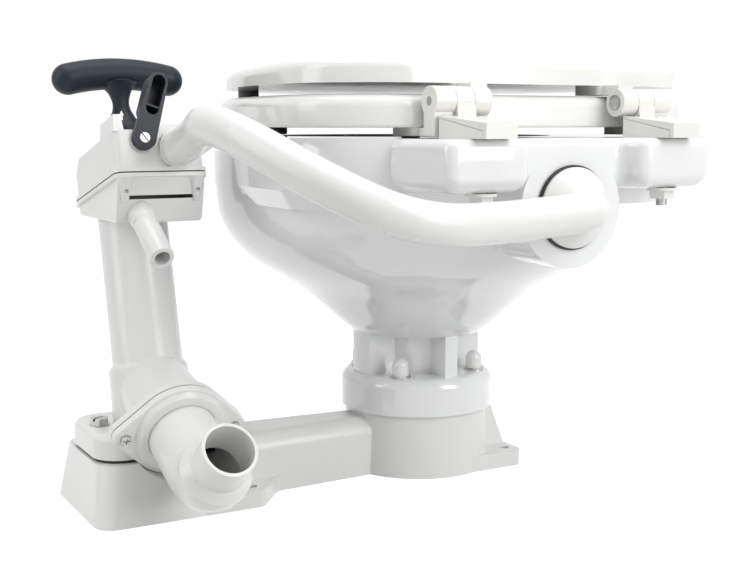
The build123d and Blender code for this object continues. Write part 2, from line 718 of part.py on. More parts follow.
# Pump cylinder: leaning tube, wider valve chamber, foot flange and discharge branch
port_boss_reach = 80.0
with BuildPart() as pump_cylinder:
    with BuildSketch(Plane((PUMP_X, 0, pump_foot_z))):
        RectangleRounded(2 * PUMP_FLANGE_HALF_X, 2 * PUMP_FLANGE_HALF_Y, PUMP_FLANGE_CORNER_R)
    extrude(amount=PUMP_FLANGE_T, taper=2)
    fillet(pump_cylinder.edges().group_by(Axis.Z)[-1], PUMP_FLANGE_ROUND)
    with BuildSketch(head_side_plane(0)):
        with BuildLine():
            Polyline(
                (0, SHOULDER_W - 80),
                (CHAMBER_R + 1, SHOULDER_W - 80),
                (CHAMBER_R, SHOULDER_W - SHOULDER_CHAMFER),
                (TUBE_R, SHOULDER_W),
                (TUBE_R - 0.4, TUBE_TOP_W),
                (0, TUBE_TOP_W),
                close=True,
            )
        make_face()
    revolve(axis=Axis(head_origin, UP_COLUMN))
    with BuildSketch(PORT.offset(port_flange_back + 1)):
        Circle(PORT_BOSS_R)
    with BuildSketch(PORT.offset(port_flange_back - port_boss_reach + 20)):
        Circle(PORT_BOSS_R - 6)
    loft(ruled=True)
    split(bisect_by=Plane.XY.offset(pump_foot_z), keep=Keep.TOP)
    with BuildSketch(PORT.offset(port_flange_back)):
        add(flange_outline(0))
    extrude(amount=PORT_FLANGE_T)
    # Room for the retaining flange, which overlaps the foot flange
    with BuildSketch(PORT.offset(port_flange_face)):
        add(flange_outline(2 * HOLE_GAP))
    extrude(amount=40, mode=Mode.SUBTRACT)
    with BuildSketch(head_plane(TUBE_TOP_W)):
        Circle(BORE_R)
    extrude(
        amount=-(head_origin.Z + TUBE_TOP_W * lean_c - CHAMBER_FLOOR_Z) / lean_c + 12,
        mode=Mode.SUBTRACT,
    )
    with BuildSketch(PORT.offset(port_flange_face + 1)):
        Circle(PORT_BORE_R)
    extrude(amount=-port_boss_reach + 22, mode=Mode.SUBTRACT)
    with BuildSketch(Plane((PUMP_X, 0, pump_foot_z - 1))):
        Circle(PUMP_DUCT_R)
    extrude(amount=22, mode=Mode.SUBTRACT)
    with BuildSketch(Plane((PUMP_X, 0, pump_foot_z))):
        with Locations((-PUMP_BOLT_X, 0), (PUMP_BOLT_X, 0)):
            Circle(PUMP_BOLT_R + HOLE_GAP)
    extrude(amount=PUMP_FLANGE_T, mode=Mode.SUBTRACT)
    with BuildSketch(PORT.offset(port_flange_face)):
        with Locations((-PORT_LUG_X, 0), (PORT_LUG_X, 0)):
            Circle(PORT_SCREW_R - 0.5)
    extrude(amount=-PORT_FLANGE_T, mode=Mode.SUBTRACT)
pump_cylinder.part.label = "pump_cylinder"
export_step(pump_cylinder.part, "parts/pump_cylinder.step")

# Black gasket under the pump, with the flap of the bottom valve cut in it
with BuildPart() as pump_gasket:
    with BuildSketch(Plane((PUMP_X, 0, FOOT_H))):
        RectangleRounded(
            2 * PUMP_FLANGE_HALF_X - 4, 2 * PUMP_FLANGE_HALF_Y - 4, PUMP_FLANGE_CORNER_R - 2
        )
        SlotArc(
            CenterArc((0, 0), PUMP_DUCT_R + 2, -140, 280), 1.0, mode=Mode.SUBTRACT
        )
        with Locations((-PUMP_BOLT_X, 0), (PUMP_BOLT_X, 0)):
            Circle(PUMP_BOLT_R + 2 * HOLE_GAP, mode=Mode.SUBTRACT)
    extrude(amount=PUMP_GASKET_T)
    with BuildSketch(PORT.offset(port_flange_back - 1)):
        Circle(PORT_FLANGE_R + 2 * HOLE_GAP)
    extrude(amount=60, mode=Mode.SUBTRACT)
pump_gasket.part.label = "pump_gasket"
export_step(pump_gasket.part, "parts/pump_gasket.step")

# Brass weight on the flap
with BuildPart() as flap_weight:
    with BuildSketch(Plane((PUMP_X, 0, FOOT_H + PUMP_GASKET_T))):
        Circle(PUMP_DUCT_R - 5)
    extrude(amount=3)
    fillet(flap_weight.edges().group_by(Axis.Z)[-1], 0.8)
flap_weight.part.label = "flap_weight"
export_step(flap_weight.part, "parts/flap_weight.step")

# Hexagon bolts with a screwdriver slot that hold the pump down
pump_bolt_head_h = 5.0
pump_bolt_z = pump_foot_z + PUMP_FLANGE_T
with BuildPart() as pump_bolts:
    with BuildSketch(Plane((PUMP_X, 0, pump_bolt_z))):
        with Locations((-PUMP_BOLT_X, 0), (PUMP_BOLT_X, 0)):
            Circle(PUMP_WASHER_R)
    extrude(amount=PUMP_WASHER_T)
    with BuildSketch(Plane((PUMP_X, 0, pump_bolt_z + PUMP_WASHER_T))):
        with Locations((-PUMP_BOLT_X, 0), (PUMP_BOLT_X, 0)):
            RegularPolygon(6.5, 6, major_radius=False, rotation=14)
    extrude(amount=pump_bolt_head_h)
    chamfer(pump_bolts.edges().group_by(Axis.Z)[-1], 0.7)
    with BuildSketch(Plane((PUMP_X, 0, pump_bolt_z + PUMP_WASHER_T + pump_bolt_head_h))):
        with Locations((-PUMP_BOLT_X, 0), (PUMP_BOLT_X, 0)):
            Rectangle(20, 1.6, rotation=35)
    extrude(amount=-2, mode=Mode.SUBTRACT)
    with BuildSketch(Plane((PUMP_X, 0, pump_bolt_z + 0.5))):
        with Locations((-PUMP_BOLT_X, 0), (PUMP_BOLT_X, 0)):
            Circle(PUMP_BOLT_R)
    extrude(amount=-PUMP_FLANGE_T - PUMP_GASKET_T - PUMP_BOLT_DEPTH - 0.5)
pump_bolts.part.label = "pump_bolts"
export_step(pump_bolts.part, "parts/pump_bolts.step")

# Rubber joker valve: rim held between the flanges, duckbill in the elbow
valve_len = 34.0
with BuildPart() as joker_valve:
    with BuildSketch(PORT.offset(port_flange_face)):
        Circle(ELBOW_LIP_R + 2)
    extrude(amount=VALVE_RIM_T)
    with BuildSketch(PORT.offset(port_flange_face + VALVE_RIM_T)):
        Circle(PORT_BORE_R)
    with BuildSketch(PORT.offset(port_flange_face + valve_len)):
        Ellipse(17, 2.4)
    loft()
    with BuildSketch(PORT.offset(port_flange_face)):
        Circle(PORT_BORE_R - 2)
    with BuildSketch(PORT.offset(port_flange_face + valve_len - 4)):
        Ellipse(14.5, 0.6)
    loft(mode=Mode.SUBTRACT)
joker_valve.part.label = "joker_valve"
export_step(joker_valve.part, "parts/joker_valve.step")

# Retaining flange with its raised collar, which traps the lip of the elbow
with BuildPart() as discharge_flange:
    with BuildSketch(PORT.offset(retainer_back)):
        add(flange_outline(0))
    extrude(amount=RETAINER_T)
    fillet(discharge_flange.faces().sort_by(Axis(PORT.origin, PORT.z_dir))[-1].edges(), 1.2)
    with BuildSketch(PORT.offset(-COLLAR_H)):
        Circle(COLLAR_FOOT_R)
    with BuildSketch(PORT):
        Circle(COLLAR_TOP_R)
    loft(ruled=True)
    fillet(discharge_flange.faces().sort_by(Axis(PORT.origin, PORT.z_dir))[-1].edges(), 1.5)
    with BuildSketch(PORT):
        Circle(ELBOW_R + SEAT_GAP)
    extrude(amount=retainer_back, mode=Mode.SUBTRACT)
    with BuildSketch(PORT.offset(retainer_back)):
        Circle(ELBOW_LIP_R + SEAT_GAP)
    extrude(amount=ELBOW_LIP_T + SEAT_GAP, mode=Mode.SUBTRACT)
    with BuildSketch(PORT.offset(retainer_back)):
        with Locations((-PORT_LUG_X, 0), (PORT_LUG_X, 0)):
            Circle(PORT_SCREW_R + HOLE_GAP)
    extrude(amount=RETAINER_T, mode=Mode.SUBTRACT)
discharge_flange.part.label = "discharge_flange"
export_step(discharge_flange.part, "parts/discharge_flange.step")

# Pan head screws of the flange
with BuildPart() as discharge_screws:
    with BuildSketch(PORT.offset(-COLLAR_H)):
        with Locations((-PORT_LUG_X, 0), (PORT_LUG_X, 0)):
            Circle(4.1)
    extrude(amount=2.6, taper=8)
    with BuildSketch(PORT.offset(-COLLAR_H + 2.6)):
        with Locations((-PORT_LUG_X, 0), (PORT_LUG_X, 0)):
            Rectangle(5, 1.1)
            Rectangle(1.1, 5)
    extrude(amount=-1.4, mode=Mode.SUBTRACT)
    with BuildSketch(PORT.offset(-COLLAR_H)):
        with Locations((-PORT_LUG_X, 0), (PORT_LUG_X, 0)):
            Circle(PORT_SCREW_R - 0.55)
    extrude(amount=-RETAINER_T - VALVE_RIM_T - PORT_FLANGE_T + 1)
discharge_screws.part.label = "discharge_screws"
export_step(discharge_screws.part, "parts/discharge_screws.step")

# Swivel discharge elbow: wide leg along the port, narrower hose tail turned upwards
elbow_corner = PORT.origin + PORT.z_dir * ELBOW_LEG
tail_dir = Vector(0, cos(radians(ELBOW_RISE)), sin(radians(ELBOW_RISE)))
TAIL = Plane(origin=elbow_corner, x_dir=(1, 0, 0), z_dir=tail_dir)
elbow_turn = PORT_DROP + ELBOW_RISE
bend_reach = ELBOW_BEND_R * tan(radians(elbow_turn / 2))
leg_start = PORT.origin + PORT.z_dir * (retainer_back + SEAT_GAP)
with BuildPart() as discharge_elbow:
    with BuildLine():
        bend = FilletPolyline(
            leg_start, elbow_corner, elbow_corner + tail_dir * (bend_reach + 1), radius=ELBOW_BEND_R
        )
    with BuildSketch(PORT.offset(retainer_back + SEAT_GAP)):
        Circle(ELBOW_R)
    sweep(path=bend)
    with BuildSketch(PORT.offset(retainer_back + SEAT_GAP)):
        Circle(ELBOW_LIP_R)
    extrude(amount=ELBOW_LIP_T - SEAT_GAP)
    with BuildSketch(TAIL.offset(bend_reach + 1)):
        Circle(ELBOW_R)
    with BuildSketch(TAIL.offset(bend_reach + 1 + TAIL_TAPER)):
        Circle(TAIL_R)
    loft(ruled=True)
    with BuildSketch(TAIL.offset(bend_reach + 1 + TAIL_TAPER)):
        Circle(TAIL_R)
    extrude(amount=TAIL_LEG - bend_reach - 1 - TAIL_TAPER)
    fillet(discharge_elbow.faces().sort_by(Axis(TAIL.origin, TAIL.z_dir))[-1].edges(), 0.8)
    with BuildSketch(PORT.offset(retainer_back + SEAT_GAP)):
        Circle(ELBOW_R - ELBOW_WALL)
    sweep(path=bend, mode=Mode.SUBTRACT)
    with BuildSketch(TAIL.offset(bend_reach)):
        Circle(TAIL_R - TAIL_WALL)
    extrude(amount=TAIL_LEG - bend_reach, mode=Mode.SUBTRACT)
discharge_elbow.part.label = "discharge_elbow"
export_step(discharge_elbow.part, "parts/discharge_elbow.step")


# Lower box of the pump head, flat underneath, with the raw-water inlet spout behind
HEAD_BOTTOM = Plane.XY.offset(HEAD_BOTTOM_Z)
tube_socket_r = TUBE_R + HOLE_GAP
SPOUT = Plane(
    origin=(PUMP_X + SPOUT_U, SPOUT_Y, SPOUT_Z),
    x_dir=(1, 0, 0),
    z_dir=(0, cos(radians(SPOUT_DROP)), -sin(radians(SPOUT_DROP))),
)
box_depth = 44.0


def sloped_box(inset, top, grow):
    """Head-shaped box below the parting face whose rear wall slopes in towards the bottom."""
    slope = tan(radians(HEAD_REAR_SLOPE))
    front = HEAD_FRONT_V + inset
    rear = HEAD_REAR_V - inset
    with BuildPart() as box:
        with BuildSketch(head_plane(top)):
            add(head_outline(inset))
        extrude(amount=-box_depth)
        half = HEAD_HALF_U - inset
        with BuildSketch(head_side_plane(-half)):
            with BuildLine():
                Polyline(
                    (rear, top),
                    (rear - slope * (box_depth + top + grow), -box_depth - grow),
                    (front, -box_depth - grow),
                    (front, top),
                    close=True,
                )
            make_face()
        extrude(amount=2 * half, mode=Mode.INTERSECT)
        split(bisect_by=HEAD_BOTTOM.offset(grow), keep=Keep.TOP)
    return box.part


with BuildPart() as pump_head:
    add(sloped_box(HEAD_LIP_EDGE, -HEAD_LIP_T / 2, 0))
    fillet(pump_head.edges().filter_by_position(Axis.Z, HEAD_BOTTOM_Z - 0.1, HEAD_BOTTOM_Z + 0.1), 3)
    with BuildSketch(head_plane(-HEAD_LIP_T)):
        add(head_outline(0))
    extrude(amount=HEAD_LIP_T)
    # Half-cone screw bosses high on the rear wall
    for side in (-1, 1):
        boss_at = (side * 28.0, HEAD_REAR_V - HEAD_LIP_EDGE - 3)
        with BuildSketch(head_plane(-HEAD_LIP_T)):
            with Locations(boss_at):
                Circle(6.5)
        with BuildSketch(head_plane(-20)):
            with Locations((boss_at[0], boss_at[1] - 6)):
                Circle(2.5)
        loft(ruled=True)
    with BuildSketch(SPOUT.offset(-14)):
        Circle(SPOUT_R + 2.4)
    with BuildSketch(SPOUT.offset(12)):
        Circle(SPOUT_R + 0.3)
    loft(ruled=True)
    with BuildSketch(SPOUT):
        Circle(SPOUT_R)
    extrude(amount=SPOUT_L)
    fillet(pump_head.faces().sort_by(Axis(SPOUT.origin, SPOUT.z_dir))[-1].edges(), 0.8)
    # Valve compartment, cylinder socket and bore
    with BuildSketch(head_plane(0)):
        add(chest_outline(0))
    extrude(amount=-18, mode=Mode.SUBTRACT)
    with BuildSketch(head_plane(0)):
        Circle(BORE_R)
    extrude(amount=TUBE_TOP_W, mode=Mode.SUBTRACT)
    with BuildSketch(head_plane(TUBE_TOP_W)):
        Circle(tube_socket_r)
    extrude(amount=-60, mode=Mode.SUBTRACT)
    with BuildSketch(SPOUT.offset(SPOUT_L)):
        Circle(SPOUT_BORE_R)
    extrude(amount=-SPOUT_L - 8, mode=Mode.SUBTRACT)
    for side in (-1, 1):
        with BuildSketch(head_plane(0)):
            with Locations((side * 28.0, HEAD_REAR_V - HEAD_LIP_EDGE - 3)):
                Circle(1.7)
        extrude(amount=-14, mode=Mode.SUBTRACT)
pump_head.part.label = "pump_head"
export_step(pump_head.part, "parts/pump_head.step")

# Thin gasket between the two halves of the head
with BuildPart() as head_gasket:
    with BuildSketch(head_plane(0)):
        add(head_outline(0.8))
        Circle(BORE_R + 1, mode=Mode.SUBTRACT)
        add(chest_outline(1), mode=Mode.SUBTRACT)
        with Locations(
            (-28, HEAD_REAR_V - HEAD_LIP_EDGE - 3), (28, HEAD_REAR_V - HEAD_LIP_EDGE - 3)
        ):
            Circle(2.4, mode=Mode.SUBTRACT)
    extrude(amount=HEAD_GASKET_T)
head_gasket.part.label = "head_gasket"
export_step(head_gasket.part, "parts/head_gasket.step")

cover_foot_w = HEAD_GASKET_T + HEAD_LIP_T
inside = HEAD_HALF_U - HEAD_LIP_EDGE
cover_rear_v = HEAD_REAR_V - HEAD_LIP_EDGE

# Cover of the pump head: sloping front, rod gland, two raised blocks and the outlet spigot
with BuildPart() as head_cover:
    with BuildSketch(head_plane(HEAD_GASKET_T)):
        add(head_outline(HEAD_LIP_EDGE))
    extrude(amount=BLOCK_TOP_W)
    with BuildSketch(head_side_plane(-inside)):
        with BuildLine():
            Polyline(
                (HEAD_FRONT_V, HEAD_GASKET_T),
                (HEAD_FRONT_V + 4, cover_foot_w + 2),
                (COVER_FRONT_FOOT_V, cover_foot_w + 8),
                (COVER_FRONT_TOP_V, COVER_TOP_W),
                (cover_rear_v, COVER_TOP_W),
                (cover_rear_v, HEAD_GASKET_T),
                close=True,
            )
        make_face()
    extrude(amount=2 * inside, mode=Mode.INTERSECT)
    with BuildSketch(head_plane(COVER_TOP_W - 1)):
        with BuildLine():
            Polyline(
                (BLOCK_PLUS_U, BLOCK_FRONT_V),
                (inside, BLOCK_FRONT_V),
                (inside, cover_rear_v),
                (BLOCK_PLUS_U, cover_rear_v),
                close=True,
            )
        make_face()
    extrude(amount=BLOCK_TOP_W - COVER_TOP_W + 1, taper=5)
    with BuildSketch(head_plane(COVER_TOP_W - 1)):
        with BuildLine():
            Polyline(
                (-inside, BLOCK_FRONT_V - 8),
                (BLOCK_MINUS_U, BLOCK_FRONT_V - 8),
                (BLOCK_MINUS_U, BLOCK_MINUS_REAR_V),
                (-inside, BLOCK_MINUS_REAR_V),
                close=True,
            )
        make_face()
    extrude(amount=BLOCK_MINUS_W - COVER_TOP_W + 1, taper=5)
    with BuildSketch(head_plane(COVER_TOP_W - 1)):
        Circle(GLAND_R)
    extrude(amount=GLAND_TOP_W - COVER_TOP_W + 1, taper=4)
    with BuildSketch(head_plane(HEAD_GASKET_T)):
        add(head_outline(0))
    extrude(amount=HEAD_LIP_T)
    # Collar behind the cover where the bowl hose leaves
    rear_wall = Plane(
        origin=HEAD.from_local_coords((0, cover_rear_v, 0)),
        x_dir=(-1, 0, 0),
        z_dir=HEAD.y_dir,
    )
    with BuildSketch(rear_wall):
        with Locations((-SPIGOT_U, SPIGOT_W)):
            Circle(SPIGOT_COLLAR_R)
    extrude(amount=SPIGOT_COLLAR_L)
    with BuildSketch(rear_wall):
        with Locations((-SPIGOT_U, SPIGOT_W)):
            Circle(SPIGOT_R)
    extrude(amount=SPIGOT_L)
    # Valve chest inside, rod bore, hose bore and selector shaft bore
    with BuildSketch(head_plane(HEAD_GASKET_T)):
        add(chest_outline(0))
    extrude(amount=COVER_TOP_W - 5, mode=Mode.SUBTRACT)
    with BuildSketch(head_plane(HEAD_GASKET_T)):
        Circle(BORE_R)
    extrude(amount=18, mode=Mode.SUBTRACT)
    with BuildSketch(head_plane(HEAD_GASKET_T)):
        Circle(ROD_R + HOLE_GAP)
    extrude(amount=GLAND_TOP_W, mode=Mode.SUBTRACT)
    with BuildSketch(head_plane(GLAND_TOP_W)):
        Circle(ROD_R + 4)
    extrude(amount=-6, mode=Mode.SUBTRACT)
    with BuildSketch(rear_wall.offset(SPIGOT_L)):
        with Locations((-SPIGOT_U, SPIGOT_W)):
            Circle(SPIGOT_R - 2.2)
    extrude(amount=-SPIGOT_L - 8, mode=Mode.SUBTRACT)
    with BuildSketch(rear_wall):
        with Locations((-LEVER_U, LEVER_W)):
            Circle(SELECTOR_SHAFT_R + SLIP)
    extrude(amount=-8, mode=Mode.SUBTRACT)
    for side in (-1, 1):
        with BuildSketch(head_plane(HEAD_GASKET_T)):
            with Locations((side * 28.0, HEAD_REAR_V - HEAD_LIP_EDGE - 3)):
                Circle(1.7)
        extrude(amount=10, mode=Mode.SUBTRACT)
head_cover.part.label = "head_cover"
export_step(head_cover.part, "parts/head_cover.step")

# Screws that hold the cover, driven up from the bosses of the lower box
with BuildPart() as cover_screws:
    with BuildSketch(head_plane(-12)):
        with Locations(
            (-28, HEAD_REAR_V - HEAD_LIP_EDGE - 3), (28, HEAD_REAR_V - HEAD_LIP_EDGE - 3)
        ):
            Circle(1.6)
    extrude(amount=12 + HEAD_GASKET_T + 9)
cover_screws.part.label = "cover_screws"
export_step(cover_screws.part, "parts/cover_screws.step")

# Seal of the pump rod in its gland
with BuildPart() as rod_seal:
    with BuildSketch(head_plane(GLAND_TOP_W - 6)):
        Circle(ROD_R + 3.9)
        Circle(ROD_R + SEAT_GAP, mode=Mode.SUBTRACT)
    extrude(amount=5)
rod_seal.part.label = "rod_seal"
export_step(rod_seal.part, "parts/rod_seal.step")

# Selector lever: hub behind the cover, paddle with an open slot over it
lever_axis_at = HEAD.from_local_coords((LEVER_U, cover_rear_v + SEAT_GAP, LEVER_W))
lever_face = Plane(origin=lever_axis_at, x_dir=(-1, 0, 0), z_dir=HEAD.y_dir)
lever_rear = 5.0
with BuildPart() as selector_lever:
    lean = radians(90 - LEVER_LEAN)
    with BuildSketch(lever_face):
        Circle(LEVER_HUB_R)
        with Locations((LEVER_TOP_R * 0.5 * cos(lean), LEVER_TOP_R * 0.5 * sin(lean))):
            SlotCenterToCenter(
                LEVER_TOP_R - 14, 2 * LEVER_HALF, rotation=90 - LEVER_LEAN
            )
        make_hull()
    extrude(amount=lever_rear)
    paddle_middle = (LEVER_FOOT + LEVER_TOP_R) / 2
    with BuildSketch(lever_face.offset(lever_rear)):
        with Locations((paddle_middle * cos(lean), paddle_middle * sin(lean))):
            SlotOverall(
                LEVER_TOP_R - LEVER_FOOT, 2 * LEVER_HALF, rotation=90 - LEVER_LEAN
            )
    extrude(amount=-LEVER_DEPTH)
    with BuildSketch(lever_face.offset(lever_rear)):
        with Locations((paddle_middle * cos(lean), paddle_middle * sin(lean))):
            SlotOverall(
                LEVER_TOP_R - LEVER_FOOT - 2 * LEVER_WALL,
                2 * (LEVER_HALF - LEVER_WALL),
                rotation=90 - LEVER_LEAN,
            )
    extrude(amount=-LEVER_DEPTH + 3, mode=Mode.SUBTRACT)
    with BuildSketch(lever_face.offset(lever_rear - 1)):
        rib_at = LEVER_FOOT + 9
        with Locations((rib_at * cos(lean), rib_at * sin(lean))):
            Rectangle(1.4, 2 * LEVER_HALF - LEVER_WALL, rotation=90 - LEVER_LEAN)
    extrude(amount=-LEVER_DEPTH + 4)
    with BuildSketch(lever_face.offset(lever_rear)):
        Circle(4.4)
    extrude(amount=-1.6, mode=Mode.SUBTRACT)
    with BuildSketch(lever_face.offset(lever_rear)):
        Circle(1.9)
    extrude(amount=-lever_rear, mode=Mode.SUBTRACT)
selector_lever.part.label = "selector_lever"
export_step(selector_lever.part, "parts/selector_lever.step")

# Shaft and cam that the lever turns inside the head
cam_depth = 20.0
with BuildPart() as selector_cam:
    with BuildSketch(lever_face):
        Circle(SELECTOR_SHAFT_R - SEAT_GAP)
    extrude(amount=-cam_depth)
    with BuildSketch(lever_face.offset(-10)):
        with Locations((0, -2)):
            Circle(4.6)
    extrude(amount=-6)
    with BuildSketch(lever_face):
        Circle(1.6)
    extrude(amount=-9, mode=Mode.SUBTRACT)
selector_cam.part.label = "selector_cam"
export_step(selector_cam.part, "parts/selector_cam.step")

# Slotted screw in the hub of the lever
with BuildPart() as selector_screw:
    with BuildSketch(lever_face.offset(lever_rear - 1.6)):
        Circle(4.2)
    extrude(amount=2.4)
    fillet(selector_screw.faces().sort_by(Axis(lever_axis_at, HEAD.y_dir))[-1].edges(), 0.7)
    with BuildSketch(lever_face.offset(lever_rear + 0.8)):
        Rectangle(10, 1.2, rotation=-55)
    extrude(amount=-1.3, mode=Mode.SUBTRACT)
    with BuildSketch(lever_face.offset(lever_rear - 1.6)):
        Circle(1.5)
    extrude(amount=-11)
selector_screw.part.label = "selector_screw"
export_step(selector_screw.part, "parts/selector_screw.step")

# T handle of the pump: arched grip, slim neck and a skirt that sits on the gland
grip_drop = 5.0
GRIP_PLANE = Plane(origin=head_origin, x_dir=(1, 0, 0), z_dir=-HEAD.y_dir)
with BuildPart() as handle:
    grip_end = GRIP_HALF - GRIP_R
    with BuildLine(GRIP_PLANE):
        grip_line = ThreePointArc(
            (-grip_end, GRIP_W - grip_drop / 2), (0, GRIP_W + grip_drop / 2), (grip_end, GRIP_W - grip_drop / 2)
        )
    with BuildSketch(Plane(origin=grip_line @ 0, z_dir=grip_line % 0)):
        Circle(GRIP_R)
    sweep(path=grip_line)
    for end in (grip_line @ 0, grip_line @ 1):
        with Locations(end):
            Sphere(GRIP_R)
    with BuildSketch(head_side_plane(0)):
        with BuildLine():
            skirt_top = GLAND_TOP_W + SEAT_GAP
            Polyline(
                (0, GRIP_W - 2),
                (0, skirt_top),
                (SKIRT_FOOT_R, skirt_top),
                (SKIRT_FOOT_R - 0.5, skirt_top + 13),
                (SKIRT_TOP_R, SKIRT_TOP_W - 3),
            )
            ThreePointArc(
                (SKIRT_TOP_R, SKIRT_TOP_W - 3), (NECK_ROD_R, SKIRT_TOP_W + 5), (NECK_ROD_R + 1.4, GRIP_W - 16)
            )
            ThreePointArc(
                (NECK_ROD_R + 1.4, GRIP_W - 16), (NECK_ROD_R + 4, GRIP_W - 11), (NECK_ROD_R + 9, GRIP_W - 7)
            )
            Polyline((NECK_ROD_R + 9, GRIP_W - 7), (NECK_ROD_R, GRIP_W - 2), (0, GRIP_W - 2))
        make_face()
    revolve(axis=Axis(head_origin, UP_COLUMN))
    with BuildSketch(head_plane(skirt_top)):
        Circle(ROD_R)
    extrude(amount=34, mode=Mode.SUBTRACT)
handle.part.label = "handle"
export_step(handle.part, "parts/handle.step")

rod_top_w = GLAND_TOP_W + SEAT_GAP + 34
rod_stub_r = ROD_R - 1.2
rod_stub = 8.0
piston_top = PISTON_W + PISTON_T

# Pump rod, pressed in the handle and swivelling in the piston
with BuildPart() as pump_rod:
    with BuildSketch(head_plane(piston_top + SEAT_GAP)):
        Circle(ROD_R)
    extrude(amount=rod_top_w - piston_top - SEAT_GAP)
    with BuildSketch(head_plane(piston_top + SEAT_GAP)):
        Circle(rod_stub_r)
    extrude(amount=-rod_stub)
pump_rod.part.label = "pump_rod"
export_step(pump_rod.part, "parts/pump_rod.step")

ring_r = 2.2
piston_r = BORE_R - SEAT_GAP - 0.1

# Piston with a groove for its ring
with BuildPart() as piston:
    with BuildSketch(head_plane(PISTON_W)):
        Circle(piston_r)
    extrude(amount=PISTON_T)
    with BuildSketch(head_plane(PISTON_W + PISTON_T / 2 - ring_r - SLIP)):
        Circle(piston_r)
        Circle(BORE_R - SEAT_GAP - 2 * ring_r - SLIP, mode=Mode.SUBTRACT)
    extrude(amount=2 * (ring_r + SLIP), mode=Mode.SUBTRACT)
    with BuildSketch(head_plane(piston_top)):
        Circle(rod_stub_r + SEAT_GAP)
    extrude(amount=-rod_stub - 1, mode=Mode.SUBTRACT)
piston.part.label = "piston"
export_step(piston.part, "parts/piston.step")

# Rubber ring of the piston
with BuildPart() as piston_ring:
    with BuildSketch(head_side_plane(0)):
        with Locations((BORE_R - SEAT_GAP - ring_r, PISTON_W + PISTON_T / 2)):
            Circle(ring_r)
    revolve(axis=Axis(head_origin, UP_COLUMN))
piston_ring.part.label = "piston_ring"
export_step(piston_ring.part, "parts/piston_ring.step")

# Bowl hose, from the collar of the pump head to the inlet elbow of the bowl
hose_start = rear_wall.from_local_coords((-SPIGOT_U, SPIGOT_W, SPIGOT_COLLAR_L))
inlet_corner = Vector(BOWL_X, INLET_ELBOW_Y, INLET_Z)
hose_last = Vector(20, 246, 231)
hose_end = inlet_corner + (hose_last - inlet_corner).normalized() * INLET_REACH
hose_route = [
    hose_start,
    hose_start + HEAD.y_dir * 38,
    Vector(185.5, 131, 300),
    Vector(139, 234.8, 252),
    Vector(92, 257, 232),
    hose_last,
    hose_end,
]
hose_radii = []
for before, here, after in zip(hose_route, hose_route[1:], hose_route[2:]):
    shorter = min((here - before).length, (after - here).length)
    turn = radians((here - before).get_angle(after - here))
    hose_radii.append(0.45 * shorter / tan(turn / 2))
with BuildPart() as bowl_hose:
    with BuildLine():
        hose_line = FilletPolyline(*hose_route, radius=hose_radii)
    with BuildSketch(Plane(origin=hose_line @ 0, z_dir=hose_line % 0)):
        Circle(HOSE_R)
        Circle(HOSE_BORE_R, mode=Mode.SUBTRACT)
    sweep(path=hose_line)
bowl_hose.part.label = "bowl_hose"
export_step(bowl_hose.part, "parts/bowl_hose.step")
print("hose radii", [round(r, 1) for r in hose_radii])
print("hose length", round(hose_line.length, 1))

# Rubber grommet of the bowl inlet: outer ring and a sleeve in the china
INLET = Plane(origin=(BOWL_X, DECK_WALL_Y, INLET_Z), x_dir=(1, 0, 0), z_dir=(0, 1, 0))
sleeve_l = 18.0
sleeve_r = INLET_BORE_R - SEAT_GAP
inlet_tail_r = INLET_BORE_R - 3.5
with BuildPart() as inlet_gasket:
    with BuildSketch(INLET):
        Circle(INLET_GASKET_R)
    extrude(amount=INLET_GASKET_T)
    fillet(inlet_gasket.edges(), 0.9)
    with BuildSketch(INLET):
        Circle(sleeve_r)
    extrude(amount=-sleeve_l)
    with BuildSketch(INLET.offset(INLET_GASKET_T)):
        Circle(inlet_tail_r + SLIP)
    extrude(amount=-INLET_GASKET_T - sleeve_l, mode=Mode.SUBTRACT)
inlet_gasket.part.label = "inlet_gasket"
export_step(inlet_gasket.part, "parts/inlet_gasket.step")

